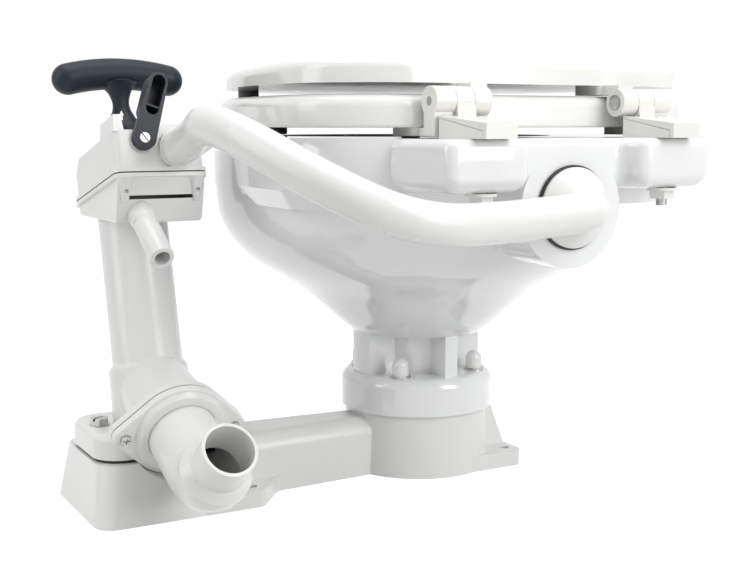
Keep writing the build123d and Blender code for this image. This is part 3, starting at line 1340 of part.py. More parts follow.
# Inlet elbow: conical disc on the grommet, bend towards the pump, hose spigot
with BuildPart() as inlet_elbow:
    disc_y = DECK_WALL_Y + INLET_GASKET_T
    with BuildSketch(Plane.XY.offset(INLET_Z)):
        with BuildLine():
            Polyline(
                (BOWL_X, disc_y - sleeve_l - INLET_GASKET_T),
                (BOWL_X + inlet_tail_r, disc_y - sleeve_l - INLET_GASKET_T),
                (BOWL_X + inlet_tail_r, disc_y),
                (BOWL_X + INLET_DISC_R, disc_y),
                (BOWL_X + INLET_DISC_R, disc_y + 2),
                (BOWL_X + INLET_CONE_TOP_R, INLET_ELBOW_Y - 15),
                (BOWL_X + INLET_PIPE_R - 1, INLET_ELBOW_Y - 9),
                (BOWL_X, INLET_ELBOW_Y - 9),
                close=True,
            )
        make_face()
    revolve(axis=Axis((BOWL_X, 0, INLET_Z), (0, 1, 0)))
    with BuildLine():
        inlet_bend = FilletPolyline(
            (BOWL_X, disc_y + 4, INLET_Z), inlet_corner, hose_end, radius=INLET_PIPE_R + 1
        )
    with BuildSketch(Plane(origin=inlet_bend @ 0, z_dir=inlet_bend % 0)):
        Circle(INLET_PIPE_R)
    sweep(path=inlet_bend)
    spigot_plane = Plane(origin=inlet_bend @ 1, z_dir=inlet_bend % 1)
    with BuildSketch(spigot_plane):
        Circle(INLET_SPIGOT_R)
    extrude(amount=INLET_SPIGOT_L)
    with BuildSketch(spigot_plane.offset(INLET_SPIGOT_L)):
        Circle(INLET_SPIGOT_R - 2.4)
    extrude(amount=-INLET_SPIGOT_L - 6, mode=Mode.SUBTRACT)
    with BuildSketch(Plane(origin=inlet_bend @ 0, z_dir=inlet_bend % 0)):
        Circle(INLET_SPIGOT_R - 2.4)
    sweep(path=inlet_bend, mode=Mode.SUBTRACT)
    with BuildSketch(INLET.offset(INLET_GASKET_T + 6)):
        Circle(INLET_SPIGOT_R - 2.4)
    extrude(amount=-sleeve_l - INLET_GASKET_T - 10, mode=Mode.SUBTRACT)
inlet_elbow.part.label = "inlet_elbow"
export_step(inlet_elbow.part, "parts/inlet_elbow.step")

leaf_screw_r = 1.7
knuckle_edge = KNUCKLE_W / 2 + KNUCKLE_GAP
seat_leaf_mid = knuckle_edge + SEAT_KNUCKLE_W / 2
lid_leaf_mid = knuckle_edge + LID_KNUCKLE_W / 2
pin_bore_r = HINGE_PIN_R + 0.2
leaf_toe_y = HINGE_Y - LEAF_REACH
leaf_root_y = HINGE_Y - KNUCKLE_R - 4
leaf_screw_pitch = 12.0
leaf_screw_y = leaf_toe_y + 9
leaf_screw_len = 13.0


def leaf_screw_spots(middle):
    """Places of the two leaf screws of each hinge, for leaves whose middle is that far out."""
    return [
        (side * (HINGE_X + middle), leaf_screw_y + row * leaf_screw_pitch) for side in (-1, 1) for row in (0, 1)
    ]


# Seat ring with rounded rims and a flat underside
with BuildPart() as seat:
    with BuildSketch(Plane((BOWL_X, 0, SEAT_Z))):
        add(egg_outline(SEAT_HALF, SEAT_FRONT, SEAT_REAR, SEAT_CORNER_R))
        add(
            opening_outline(SEAT_HOLE_HALF, SEAT_HOLE_FRONT, SEAT_HOLE_REAR),
            mode=Mode.SUBTRACT,
        )
    extrude(amount=SEAT_T)
    fillet(seat.edges().group_by(Axis.Z)[-1], SEAT_ROUND)
    fillet(seat.edges().group_by(Axis.Z)[0], 2.5)
    with BuildSketch(Plane((BOWL_X, 0, SEAT_Z))):
        with Locations(*leaf_screw_spots(seat_leaf_mid)):
            Circle(leaf_screw_r + 0.1)
    extrude(amount=leaf_screw_len - SEAT_LEAF_T + 1, mode=Mode.SUBTRACT)
seat.part.label = "seat"
export_step(seat.part, "parts/seat.step")

# Lid, thinner towards the front
lid_slope = (LID_REAR_T - LID_FRONT_T) / (LID_REAR + LID_FRONT)
with BuildPart() as lid:
    with BuildSketch(Plane((BOWL_X, 0, LID_Z))):
        add(egg_outline(LID_HALF, LID_FRONT, LID_REAR, LID_CORNER_R))
    extrude(amount=LID_REAR_T + 1)
    top_plane = Plane(
        origin=(BOWL_X, LID_REAR, LID_Z + LID_REAR_T), z_dir=Vector(0, -lid_slope, 1).normalized()
    )
    split(bisect_by=top_plane, keep=Keep.BOTTOM)
    fillet(lid.faces().sort_by(Axis.Z)[-1].edges(), LID_ROUND)
    with BuildSketch(Plane((BOWL_X, 0, LID_Z))):
        with Locations(*leaf_screw_spots(-lid_leaf_mid)):
            Circle(leaf_screw_r + 0.1)
    extrude(amount=leaf_screw_len - LID_LEAF_T + 1, mode=Mode.SUBTRACT)
lid.part.label = "lid"
export_step(lid.part, "parts/lid.step")

# Rubber bumpers under the seat, resting on the rim
with BuildPart() as seat_bumpers:
    with BuildSketch(Plane((BOWL_X, 0, SEAT_Z))):
        with Locations((-SEAT_BUMPER_X, SEAT_BUMPER_Y), (SEAT_BUMPER_X, SEAT_BUMPER_Y)):
            Circle(BUMPER_R)
    extrude(amount=RIM_Z + SEAT_GAP - SEAT_Z)
    fillet(seat_bumpers.edges().group_by(Axis.Z)[0], 1.5)
seat_bumpers.part.label = "seat_bumpers"
export_step(seat_bumpers.part, "parts/seat_bumpers.step")

# Rubber bumpers under the lid, resting on the seat
with BuildPart() as lid_bumpers:
    with BuildSketch(Plane((BOWL_X, 0, LID_Z))):
        with Locations((-LID_BUMPER_X, LID_BUMPER_Y), (LID_BUMPER_X, LID_BUMPER_Y)):
            Circle(BUMPER_R)
    extrude(amount=SEAT_GAP - lid_rest_gap)
    fillet(lid_bumpers.edges().group_by(Axis.Z)[0], 1.5)
lid_bumpers.part.label = "lid_bumpers"
export_step(lid_bumpers.part, "parts/lid_bumpers.step")

HINGE_SIDE = Plane(origin=(0, 0, 0), x_dir=(0, 1, 0), z_dir=(1, 0, 0))
base_top_slope = (HINGE_BASE_FRONT_H - HINGE_BASE_REAR_H) / (HINGE_BASE_REAR_Y - HINGE_BASE_FRONT_Y)
cap_front_z = RIM_Z + HINGE_BASE_FRONT_H - CAP_FRONT_T
cap_rear_z = RIM_Z + HINGE_BASE_REAR_H - CAP_REAR_T
cap_end_y = HINGE_BASE_REAR_Y - CAP_END_T
web_rear_y = HINGE_Y + KNUCKLE_R + 1


def cap_space(hinge_x, drop):
    """Space above the seam of the flip cap: over the sloping top and down the rear end."""
    with BuildPart() as space:
        with BuildSketch(HINGE_SIDE.offset(hinge_x - HINGE_BASE_FRONT_W)):
            with BuildLine():
                Polyline(
                    (HINGE_BASE_FRONT_Y, cap_front_z - drop),
                    (cap_end_y - drop, cap_rear_z - drop),
                    (cap_end_y - drop, RIM_Z),
                    (HINGE_BASE_REAR_Y + 1, RIM_Z),
                    (HINGE_BASE_REAR_Y + 1, RIM_Z + 2 * HINGE_BASE_FRONT_H),
                    (HINGE_BASE_FRONT_Y, RIM_Z + 2 * HINGE_BASE_FRONT_H),
                    close=True,
                )
            make_face()
        extrude(amount=2 * HINGE_BASE_FRONT_W)
    return space.part


def leaf(hinge_x, side, width, foot_z, foot_t, post_z, post_rear):
    """Hinge leaf: knuckle, post and a foot that runs forward along its plate."""
    middle = hinge_x + side * (knuckle_edge + width / 2)
    knuckle_plane = HINGE_SIDE.offset(middle - width / 2)
    post_front = HINGE_Y - LEAF_POST_T / 2
    with BuildPart() as piece:
        with BuildSketch(knuckle_plane):
            with Locations((HINGE_Y, HINGE_Z)):
                Circle(KNUCKLE_R)
        extrude(amount=width)
        with BuildSketch(knuckle_plane):
            with BuildLine():
                Polyline(
                    (post_front, HINGE_Z),
                    (post_front, post_z),
                    (post_rear, post_z),
                    (post_rear, HINGE_Z),
                    close=True,
                )
            make_face()
        extrude(amount=width)
        with BuildSketch(Plane((middle, 0, foot_z))):
            with BuildLine():
                Polyline(
                    (-width / 2, post_rear), (width / 2, post_rear), (width / 2, leaf_root_y),
                    (-width / 2, leaf_root_y), close=True
                )
            make_face()
            with Locations((0, (leaf_root_y + leaf_toe_y) / 2)):
                RectangleRounded(width + 8, leaf_root_y - leaf_toe_y, 5)
        extrude(amount=foot_t)
        with BuildSketch(knuckle_plane):
            with Locations((HINGE_Y, HINGE_Z)):
                Circle(pin_bore_r)
        extrude(amount=width, mode=Mode.SUBTRACT)
        with BuildSketch(Plane((middle, 0, foot_z))):
            with Locations((0, leaf_screw_y), (0, leaf_screw_y + leaf_screw_pitch)):
                Circle(leaf_screw_r + HOLE_GAP)
        extrude(amount=foot_t, mode=Mode.SUBTRACT)
    return piece.part


def leaf_screws(middle, head_z, up):
    """The leaf screws of both hinges, their heads flush at the given height."""
    with BuildPart() as screws:
        with BuildSketch(Plane((BOWL_X, 0, head_z))):
            with Locations(*leaf_screw_spots(middle)):
                Circle(leaf_screw_r)
        extrude(amount=up * leaf_screw_len)
    return screws.part


# Two hinges: fixed base with the middle knuckle, flip cap, seat leaf outside, lid leaf inside
for name, side in (("left", -1), ("right", 1)):
    hinge_x = BOWL_X + side * HINGE_X
    with BuildPart() as block:
        with BuildSketch(Plane((hinge_x, 0, RIM_Z))):
            with BuildLine():
                Polyline(
                    (-HINGE_BASE_FRONT_W / 2, HINGE_BASE_FRONT_Y),
                    (HINGE_BASE_FRONT_W / 2, HINGE_BASE_FRONT_Y),
                    (HINGE_BASE_REAR_W / 2, HINGE_BASE_REAR_Y),
                    (-HINGE_BASE_REAR_W / 2, HINGE_BASE_REAR_Y),
                    close=True,
                )
            make_face()
        extrude(amount=HINGE_BASE_FRONT_H + 1)
        slope_plane = Plane(
            origin=(hinge_x, HINGE_BASE_FRONT_Y, RIM_Z + HINGE_BASE_FRONT_H),
            z_dir=Vector(0, base_top_slope, 1).normalized(),
        )
        split(bisect_by=slope_plane, keep=Keep.BOTTOM)
    with BuildPart() as hinge_base:
        add(block.part)
        add(cap_space(hinge_x, SEAT_GAP), mode=Mode.SUBTRACT)
        # Well for the bolt head
        with BuildSketch(Plane((hinge_x, HINGE_BOLT_Y, RIM_Z + 4))):
            Circle(8.2)
        extrude(amount=20, mode=Mode.SUBTRACT)
        with BuildSketch(Plane((hinge_x, HINGE_BOLT_Y, RIM_Z))):
            Circle(HINGE_BOLT_R + HOLE_GAP)
        extrude(amount=10, mode=Mode.SUBTRACT)
        with BuildSketch(HINGE_SIDE.offset(hinge_x - KNUCKLE_W / 2)):
            with Locations((HINGE_Y, HINGE_Z)):
                Circle(KNUCKLE_R)
            with BuildLine():
                Polyline(
                    (HINGE_Y, HINGE_Z - KNUCKLE_R),
                    (HINGE_BASE_FRONT_Y - 0.5, RIM_Z + HINGE_BASE_FRONT_H - 5),
                    (web_rear_y + 4, RIM_Z + HINGE_BASE_FRONT_H - 5),
                    (web_rear_y, RIM_Z + HINGE_BASE_FRONT_H),
                    (HINGE_Y + KNUCKLE_R - 0.4, HINGE_Z),
                    (HINGE_Y, HINGE_Z),
                    close=True,
                )
            make_face()
        extrude(amount=KNUCKLE_W)
        with BuildSketch(HINGE_SIDE.offset(hinge_x - KNUCKLE_W / 2)):
            with Locations((HINGE_Y, HINGE_Z)):
                Circle(HINGE_PIN_R)
        extrude(amount=KNUCKLE_W, mode=Mode.SUBTRACT)
    hinge_base.part.label = f"hinge_base_{name}"
    export_step(hinge_base.part, f"parts/hinge_base_{name}.step")

    with BuildPart() as hinge_cap:
        add(block.part)
        add(cap_space(hinge_x, 0), mode=Mode.INTERSECT)
        with BuildSketch(Plane((hinge_x, 0, RIM_Z))):
            with Locations((0, web_rear_y - 10)):
                Rectangle(KNUCKLE_W + 1.2, 2 * (10 + 5.5))
        extrude(amount=40, mode=Mode.SUBTRACT)
    hinge_cap.part.label = f"hinge_cap_{name}"
    export_step(hinge_cap.part, f"parts/hinge_cap_{name}.step")

    seat_leaf = leaf(
        hinge_x,
        side,
        SEAT_KNUCKLE_W,
        SEAT_Z - SEAT_LEAF_T,
        SEAT_LEAF_T,
        SEAT_Z - SEAT_LEAF_T,
        HINGE_Y + LEAF_POST_T / 2,
    )
    seat_leaf.label = f"seat_leaf_{name}"
    export_step(seat_leaf, f"parts/seat_leaf_{name}.step")
    lid_leaf = leaf(
        hinge_x, -side, LID_KNUCKLE_W, LID_Z - LID_LEAF_T, LID_LEAF_T, LID_Z, HINGE_Y + 3
    )
    lid_leaf.label = f"lid_leaf_{name}"
    export_step(lid_leaf, f"parts/lid_leaf_{name}.step")

seat_leaf_screws = leaf_screws(seat_leaf_mid, SEAT_Z - SEAT_LEAF_T, 1)
seat_leaf_screws.label = "seat_leaf_screws"
export_step(seat_leaf_screws, "parts/seat_leaf_screws.step")
lid_leaf_screws = leaf_screws(-lid_leaf_mid, LID_Z - LID_LEAF_T, 1)
lid_leaf_screws.label = "lid_leaf_screws"
export_step(lid_leaf_screws, "parts/lid_leaf_screws.step")

# Hinge pins, each with a round head at the lid side
pin_head_r = 5.6
pin_head_t = 1.2
with BuildPart() as hinge_pins:
    for side in (-1, 1):
        hinge_x = BOWL_X + side * HINGE_X
        inner_x = hinge_x - side * (knuckle_edge + LID_KNUCKLE_W + SEAT_GAP)
        pin_len = 2 * knuckle_edge + LID_KNUCKLE_W + SEAT_KNUCKLE_W
        pin_plane = Plane(origin=(inner_x, HINGE_Y, HINGE_Z), x_dir=(0, 1, 0), z_dir=(side, 0, 0))
        with BuildSketch(pin_plane):
            Circle(HINGE_PIN_R)
        extrude(amount=pin_len)
        with BuildSketch(pin_plane):
            Circle(pin_head_r)
        extrude(amount=-pin_head_t)
hinge_pins.part.label = "hinge_pins"
export_step(hinge_pins.part, "parts/hinge_pins.step")

hinge_bolt_head_z = RIM_Z + 4
hinge_bolt_head_h = 3.8
hinge_nut_h = 8.0

# Bolts that hold the hinges to the ears of the bowl
with BuildPart() as hinge_bolts:
    with BuildSketch(Plane((BOWL_X, HINGE_BOLT_Y, hinge_bolt_head_z))):
        with Locations((-HINGE_X, 0), (HINGE_X, 0)):
            RegularPolygon(6.5, 6, major_radius=False)
    extrude(amount=hinge_bolt_head_h)
    with BuildSketch(Plane((BOWL_X, HINGE_BOLT_Y, hinge_bolt_head_z + 1))):
        with Locations((-HINGE_X, 0), (HINGE_X, 0)):
            Circle(HINGE_BOLT_R)
    extrude(amount=DECK_Z - hinge_nut_h - 6 - hinge_bolt_head_z)
hinge_bolts.part.label = "hinge_bolts"
export_step(hinge_bolts.part, "parts/hinge_bolts.step")

# Plastic nuts under the ears
with BuildPart() as hinge_nuts:
    with BuildSketch(Plane((BOWL_X, HINGE_BOLT_Y, DECK_Z))):
        with Locations((-HINGE_X, 0), (HINGE_X, 0)):
            Circle(11)
            Circle(HINGE_BOLT_R + 0.1, mode=Mode.SUBTRACT)
    extrude(amount=-2)
    with BuildSketch(Plane((BOWL_X, HINGE_BOLT_Y, DECK_Z - 2))):
        with Locations((-HINGE_X, 0), (HINGE_X, 0)):
            RegularPolygon(8.0, 6, major_radius=False)
            Circle(HINGE_BOLT_R + 0.1, mode=Mode.SUBTRACT)
    extrude(amount=-hinge_nut_h + 2)
hinge_nuts.part.label = "hinge_nuts"
export_step(hinge_nuts.part, "parts/hinge_nuts.step")
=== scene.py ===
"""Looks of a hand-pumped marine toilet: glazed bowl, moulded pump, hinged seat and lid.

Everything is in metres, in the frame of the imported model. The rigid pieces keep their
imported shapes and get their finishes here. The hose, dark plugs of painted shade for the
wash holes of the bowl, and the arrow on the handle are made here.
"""

from __future__ import annotations

import json
import logging
import math
from collections.abc import Iterable
from dataclasses import dataclass, field
from enum import Enum

import bpy
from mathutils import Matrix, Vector

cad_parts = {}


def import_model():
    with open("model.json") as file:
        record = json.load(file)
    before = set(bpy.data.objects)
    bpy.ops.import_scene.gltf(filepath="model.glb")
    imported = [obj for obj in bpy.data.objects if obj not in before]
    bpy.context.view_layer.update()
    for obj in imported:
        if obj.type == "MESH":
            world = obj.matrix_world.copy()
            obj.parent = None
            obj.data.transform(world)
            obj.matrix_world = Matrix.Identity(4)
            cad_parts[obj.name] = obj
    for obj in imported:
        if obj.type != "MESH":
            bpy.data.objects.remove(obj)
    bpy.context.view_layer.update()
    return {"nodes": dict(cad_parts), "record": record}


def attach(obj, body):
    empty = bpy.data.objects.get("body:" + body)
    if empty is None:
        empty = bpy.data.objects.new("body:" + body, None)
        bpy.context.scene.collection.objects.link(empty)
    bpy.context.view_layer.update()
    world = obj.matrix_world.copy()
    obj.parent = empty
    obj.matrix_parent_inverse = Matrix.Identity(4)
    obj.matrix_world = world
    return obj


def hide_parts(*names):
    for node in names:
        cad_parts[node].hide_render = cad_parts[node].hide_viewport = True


log = logging.getLogger("marine_toilet")

PHOTO_WIDTH = 729
UP = Vector((0.0, 0.0, 1.0))

Colour = tuple[float, float, float]
Place = tuple[float, float, float]


class Relief(Enum):
    """Kinds of fine relief that a finish may have."""

    GLAZE = "glaze"
    MOULDED = "moulded"
    BRUSHED = "brushed"
    RUBBERY = "rubbery"


@dataclass(frozen=True)
class Finish:
    """One surface finish: colour, gloss, and the relief and ageing that vary over it.

    The relief size and the ageing size are feature sizes in metres.
    """

    colour: Colour
    aged_colour: Colour
    roughness: float
    rough_spread: float
    relief: Relief
    relief_size: float
    relief_depth: float
    age_size: float = 0.06
    metallic: float = 0.0
    coat: float = 0.0
    coat_roughness: float = 0.04
    ior: float = 1.5


FINISHES = {
    "china": Finish(
        colour=(0.83, 0.84, 0.84),
        aged_colour=(0.80, 0.81, 0.80),
        roughness=0.06,
        rough_spread=0.05,
        relief=Relief.GLAZE,
        relief_size=0.02,
        relief_depth=0.00006,
        age_size=0.12,
        coat=0.6,
        ior=1.52,
    ),
    "pump_plastic": Finish(
        colour=(0.80, 0.80, 0.785),
        aged_colour=(0.785, 0.785, 0.765),
        roughness=0.20,
        rough_spread=0.08,
        relief=Relief.MOULDED,
        relief_size=0.0012,
        relief_depth=0.00002,
    ),
    "seat_plastic": Finish(
        colour=(0.82, 0.82, 0.80),
        aged_colour=(0.79, 0.79, 0.765),
        roughness=0.15,
        rough_spread=0.08,
        relief=Relief.MOULDED,
        relief_size=0.002,
        relief_depth=0.000015,
        coat=0.3,
    ),
    "hinge_plastic": Finish(
        colour=(0.81, 0.81, 0.775),
        aged_colour=(0.77, 0.765, 0.72),
        roughness=0.22,
        rough_spread=0.10,
        relief=Relief.MOULDED,
        relief_size=0.001,
        relief_depth=0.00002,
    ),
    "handle_plastic": Finish(
        colour=(0.009, 0.015, 0.024),
        aged_colour=(0.014, 0.021, 0.031),
        roughness=0.38,
        rough_spread=0.14,
        relief=Relief.MOULDED,
        relief_size=0.0007,
        relief_depth=0.00004,
        ior=1.34,
    ),
    "lever_plastic": Finish(
        colour=(0.020, 0.024, 0.031),
        aged_colour=(0.028, 0.032, 0.040),
        roughness=0.34,
        rough_spread=0.14,
        relief=Relief.MOULDED,
        relief_size=0.0007,
        relief_depth=0.00004,
        ior=1.36,
    ),
    "black_rubber": Finish(
        colour=(0.012, 0.012, 0.012),
        aged_colour=(0.030, 0.030, 0.030),
        roughness=0.55,
        rough_spread=0.20,
        relief=Relief.RUBBERY,
        relief_size=0.0009,
        relief_depth=0.00006,
    ),
    "grey_rubber": Finish(
        colour=(0.085, 0.09, 0.10),
        aged_colour=(0.13, 0.135, 0.14),
        roughness=0.52,
        rough_spread=0.18,
        relief=Relief.RUBBERY,
        relief_size=0.0009,
        relief_depth=0.00006,
    ),
    "white_hose": Finish(
        colour=(0.80, 0.80, 0.785),
        aged_colour=(0.765, 0.765, 0.745),
        roughness=0.27,
        rough_spread=0.10,
        relief=Relief.RUBBERY,
        relief_size=0.004,
        relief_depth=0.00005,
        coat=0.15,
    ),
    "stainless": Finish(
        colour=(0.50, 0.50, 0.49),
        aged_colour=(0.34, 0.34, 0.33),
        roughness=0.26,
        rough_spread=0.16,
        relief=Relief.BRUSHED,
        relief_size=0.0004,
        relief_depth=0.00002,
        age_size=0.006,
        metallic=1.0,
    ),
    "brass": Finish(
        colour=(0.56, 0.40, 0.17),
        aged_colour=(0.40, 0.27, 0.11),
        roughness=0.34,
        rough_spread=0.16,
        relief=Relief.BRUSHED,
        relief_size=0.0004,
        relief_depth=0.00002,
        age_size=0.006,
        metallic=1.0,
    ),
    "piston_plastic": Finish(
        colour=(0.62, 0.62, 0.59),
        aged_colour=(0.55, 0.55, 0.52),
        roughness=0.32,
        rough_spread=0.12,
        relief=Relief.MOULDED,
        relief_size=0.001,
        relief_depth=0.00003,
    ),
}


def add_to_scene(name: str, data: bpy.types.ID) -> bpy.types.Object:
    """Makes an object from its data and puts it in the scene.

    Args:
        name: name of the object.
        data: its mesh, curve, camera or lamp.

    Returns:
        The new object.
    """
    thing = bpy.data.objects.new(name, data)
    bpy.context.scene.collection.objects.link(thing)
    return thing


def grey(tone: float) -> tuple[float, float, float, float]:
    """Gives an opaque grey.

    Args:
        tone: its brightness, from 0 to 1.

    Returns:
        Red, green, blue and alpha.
    """
    return (tone, tone, tone, 1)


class Graph:
    """A node tree with short calls to place nodes and to join them."""

    def __init__(self, tree: bpy.types.NodeTree) -> None:
        """Takes the tree to work on.

        Args:
            tree: shader or geometry node tree.
        """
        self.tree = tree

    def add(self, kind: str, /, **settings: object) -> bpy.types.Node:
        """Places a node.

        Args:
            kind: Blender's name of the node type.
            **settings: properties of the node, by name.

        Returns:
            The new node.
        """
        node = self.tree.nodes.new(kind)
        for name, value in settings.items():
            setattr(node, name, value)
        return node

    def join(self, source: bpy.types.NodeSocket, target: bpy.types.NodeSocket) -> None:
        """Links an output to an input.

        Args:
            source: the output.
            target: the input.
        """
        self.tree.links.new(source, target)

    def feed(self, node: bpy.types.Node, **values: object) -> bpy.types.Node:
        """Sets or links inputs of a node by socket name, with _ for a space.

        Args:
            node: the node whose inputs are set.
            **values: constants, or sockets to link from.

        Returns:
            The same node.
        """
        for name, value in values.items():
            socket = node.inputs[name.replace("_", " ")]
            if isinstance(value, bpy.types.NodeSocket):
                self.join(value, socket)
            else:
                socket.default_value = value
        return node


@dataclass
class SurfaceGroups:
    """Shader node groups that several finishes share."""

    brush_stretch: Place = (1.0, 1.0, 0.08)
    glaze_detail: float = 1.0
    grain_detail: float = 3.0
    ageing_detail: float = 5.0
    ageing_low: float = 0.35
    ageing_high: float = 0.75

    def __post_init__(self) -> None:
        """Builds each group once."""
        self.relief = {kind: self._relief_group(kind) for kind in Relief}
        self.ageing = self._ageing_group()

    @staticmethod
    def _new_group(
        name: str, inputs: dict[str, float], output: str
    ) -> tuple[Graph, bpy.types.Node, bpy.types.Node]:
        """Makes an empty group with number inputs and one number output.

        Args:
            name: name of the group.
            inputs: default of each input, by name.
            output: name of the output.

        Returns:
            The graph, its input node and its output node.
        """
        tree = bpy.data.node_groups.new(name, "ShaderNodeTree")
        for label, default in inputs.items():
            socket = tree.interface.new_socket(
                label, in_out="INPUT", socket_type="NodeSocketFloat"
            )
            socket.default_value = default
        tree.interface.new_socket(output, in_out="OUTPUT", socket_type="NodeSocketFloat")
        graph = Graph(tree)
        return graph, graph.add("NodeGroupInput"), graph.add("NodeGroupOutput")

    @staticmethod
    def _scale_for(graph: Graph, entry: bpy.types.Node) -> bpy.types.NodeSocket:
        """Turns a group's feature size into the scale of a texture.

        Args:
            graph: tree of the group.
            entry: its input node, which has a Size.

        Returns:
            A socket with one over the size.
        """
        divide = graph.add("ShaderNodeMath", operation="DIVIDE")
        divide.inputs[0].default_value = 1.0
        graph.join(entry.outputs["Size"], divide.inputs[1])
        return divide.outputs[0]

    def _relief_group(self, kind: Relief) -> bpy.types.NodeTree:
        """Makes the height pattern of one kind of relief.

        Args:
            kind: which relief.

        Returns:
            The group, which puts out a height.
        """
        graph, entry, leave = self._new_group(f"relief_{kind.value}", {"Size": 0.002}, "Height")
        place = graph.add("ShaderNodeTexCoord")
        mapping = graph.feed(graph.add("ShaderNodeMapping"), Vector=place.outputs["Object"])
        if kind is Relief.BRUSHED:
            mapping.inputs["Scale"].default_value = self.brush_stretch
        spot, scale = mapping.outputs["Vector"], self._scale_for(graph, entry)
        detail = self.glaze_detail if kind is Relief.GLAZE else self.grain_detail
        noise = graph.add("ShaderNodeTexNoise")
        graph.feed(noise, Vector=spot, Scale=scale, Detail=detail)
        height = noise.outputs["Fac"]
        if kind in (Relief.MOULDED, Relief.RUBBERY):
            cells = graph.add("ShaderNodeTexVoronoi", feature="SMOOTH_F1")
            graph.feed(cells, Vector=spot, Scale=scale)
            both = graph.add("ShaderNodeMath", operation="MULTIPLY")
            graph.join(height, both.inputs[0])
            graph.join(cells.outputs["Distance"], both.inputs[1])
            height = both.outputs[0]
        graph.feed(leave, Height=height)
        return graph.tree

    def _ageing_group(self) -> bpy.types.NodeTree:
        """Makes the soft patches where a surface is a little duller and warmer.

        Returns:
            The group, which puts out a mask from 0 to 1.
        """
        graph, entry, leave = self._new_group(
            "soft_ageing",
            {"Size": 0.06, "Low": self.ageing_low, "High": self.ageing_high},
            "Mask",
        )
        place = graph.add("ShaderNodeTexCoord")
        noise = graph.feed(
            graph.add("ShaderNodeTexNoise"),
            Vector=place.outputs["Object"],
            Scale=self._scale_for(graph, entry),
            Detail=self.ageing_detail,
        )
        spread = graph.feed(
            graph.add("ShaderNodeMapRange"),
            Value=noise.outputs["Fac"],
            From_Min=entry.outputs["Low"],
            From_Max=entry.outputs["High"],
        )
        graph.feed(leave, Mask=spread.outputs["Result"])
        return graph.tree


@dataclass
class Paints:
    """Materials, made from the finishes when first asked for."""

    groups: SurfaceGroups
    made: dict[str, bpy.types.Material] = field(default_factory=dict)

    def get(self, name: str) -> bpy.types.Material:
        """Gives the material of a finish.

        Args:
            name: name of the finish.

        Returns:
            The material, built if it is new.
        """
        if name not in self.made:
            self.made[name] = self._build(name, FINISHES[name])
        return self.made[name]

    def _build(self, name: str, finish: Finish) -> bpy.types.Material:
        """Builds one material.

        Args:
            name: name of the finish.
            finish: its values.

        Returns:
            The new material.
        """
        material = bpy.data.materials.new(name)
        material.use_nodes = True
        graph = Graph(material.node_tree)
        ageing = graph.add("ShaderNodeGroup", node_tree=self.groups.ageing)
        graph.feed(ageing, Size=finish.age_size)
        mask = ageing.outputs["Mask"]
        mix = graph.feed(graph.add("ShaderNodeMix", data_type="RGBA"), Factor=mask)
        fresh, aged = (socket for socket in mix.inputs if socket.type == "RGBA")
        fresh.default_value = (*finish.colour, 1)
        aged.default_value = (*finish.aged_colour, 1)
        rough = graph.feed(
            graph.add("ShaderNodeMapRange"),
            Value=mask,
            To_Min=finish.roughness,
            To_Max=finish.roughness + finish.rough_spread,
        )
        relief = graph.add("ShaderNodeGroup", node_tree=self.groups.relief[finish.relief])
        graph.feed(relief, Size=finish.relief_size)
        bump = graph.feed(
            graph.add("ShaderNodeBump"),
            Distance=finish.relief_depth,
            Height=relief.outputs["Height"],
        )
        graph.feed(
            graph.tree.nodes["Principled BSDF"],
            Base_Color=next(socket for socket in mix.outputs if socket.type == "RGBA"),
            Roughness=rough.outputs["Result"],
            Normal=bump.outputs["Normal"],
            Metallic=finish.metallic,
            IOR=finish.ior,
            Coat_Weight=finish.coat,
            Coat_Roughness=finish.coat_roughness,
        )
        return material


@dataclass
class SmoothSkin:
    """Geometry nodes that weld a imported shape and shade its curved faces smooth."""

    merge_distance: float = 0.00001
    edge_angle: float = math.radians(28)

    def __post_init__(self) -> None:
        """Builds the tree: weld, then keep sharp what turns by more than the angle."""
        tree = bpy.data.node_groups.new("smooth_skin", "GeometryNodeTree")
        sockets = tree.interface
        sockets.new_socket("Geometry", in_out="INPUT", socket_type="NodeSocketGeometry")
        for label in ("Merge Distance", "Edge Angle"):
            sockets.new_socket(label, in_out="INPUT", socket_type="NodeSocketFloat")
        sockets.new_socket("Geometry", in_out="OUTPUT", socket_type="NodeSocketGeometry")
        graph = Graph(tree)
        entry, leave = graph.add("NodeGroupInput"), graph.add("NodeGroupOutput")
        weld = graph.feed(
            graph.add("GeometryNodeMergeByDistance"),
            Geometry=entry.outputs["Geometry"],
            Distance=entry.outputs["Merge Distance"],
        )
        angle = graph.add("GeometryNodeInputMeshEdgeAngle")
        soft = graph.feed(
            graph.add("FunctionNodeCompare", data_type="FLOAT", operation="LESS_THAN"),
            A=angle.outputs["Unsigned Angle"],
            B=entry.outputs["Edge Angle"],
        )
        faces = graph.feed(
            graph.add("GeometryNodeSetShadeSmooth", domain="FACE"),
            Geometry=weld.outputs["Geometry"],
        )
        edges = graph.feed(
            graph.add("GeometryNodeSetShadeSmooth", domain="EDGE"),
            Geometry=faces.outputs["Geometry"],
            Shade_Smooth=soft.outputs["Result"],
        )
        graph.feed(leave, Geometry=edges.outputs["Geometry"])
        self.tree = tree

    def put_on(self, piece: bpy.types.Object) -> None:
        """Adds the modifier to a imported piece.

        Args:
            piece: the node's object, whose own mesh stays as it is.
        """
        modifier = piece.modifiers.new("smooth_skin", "NODES")
        modifier.node_group = self.tree
        values = {"Merge Distance": self.merge_distance, "Edge Angle": self.edge_angle}
        for socket in self.tree.interface.items_tree:
            if socket.in_out == "INPUT" and socket.name in values:
                modifier[socket.identifier] = values[socket.name]


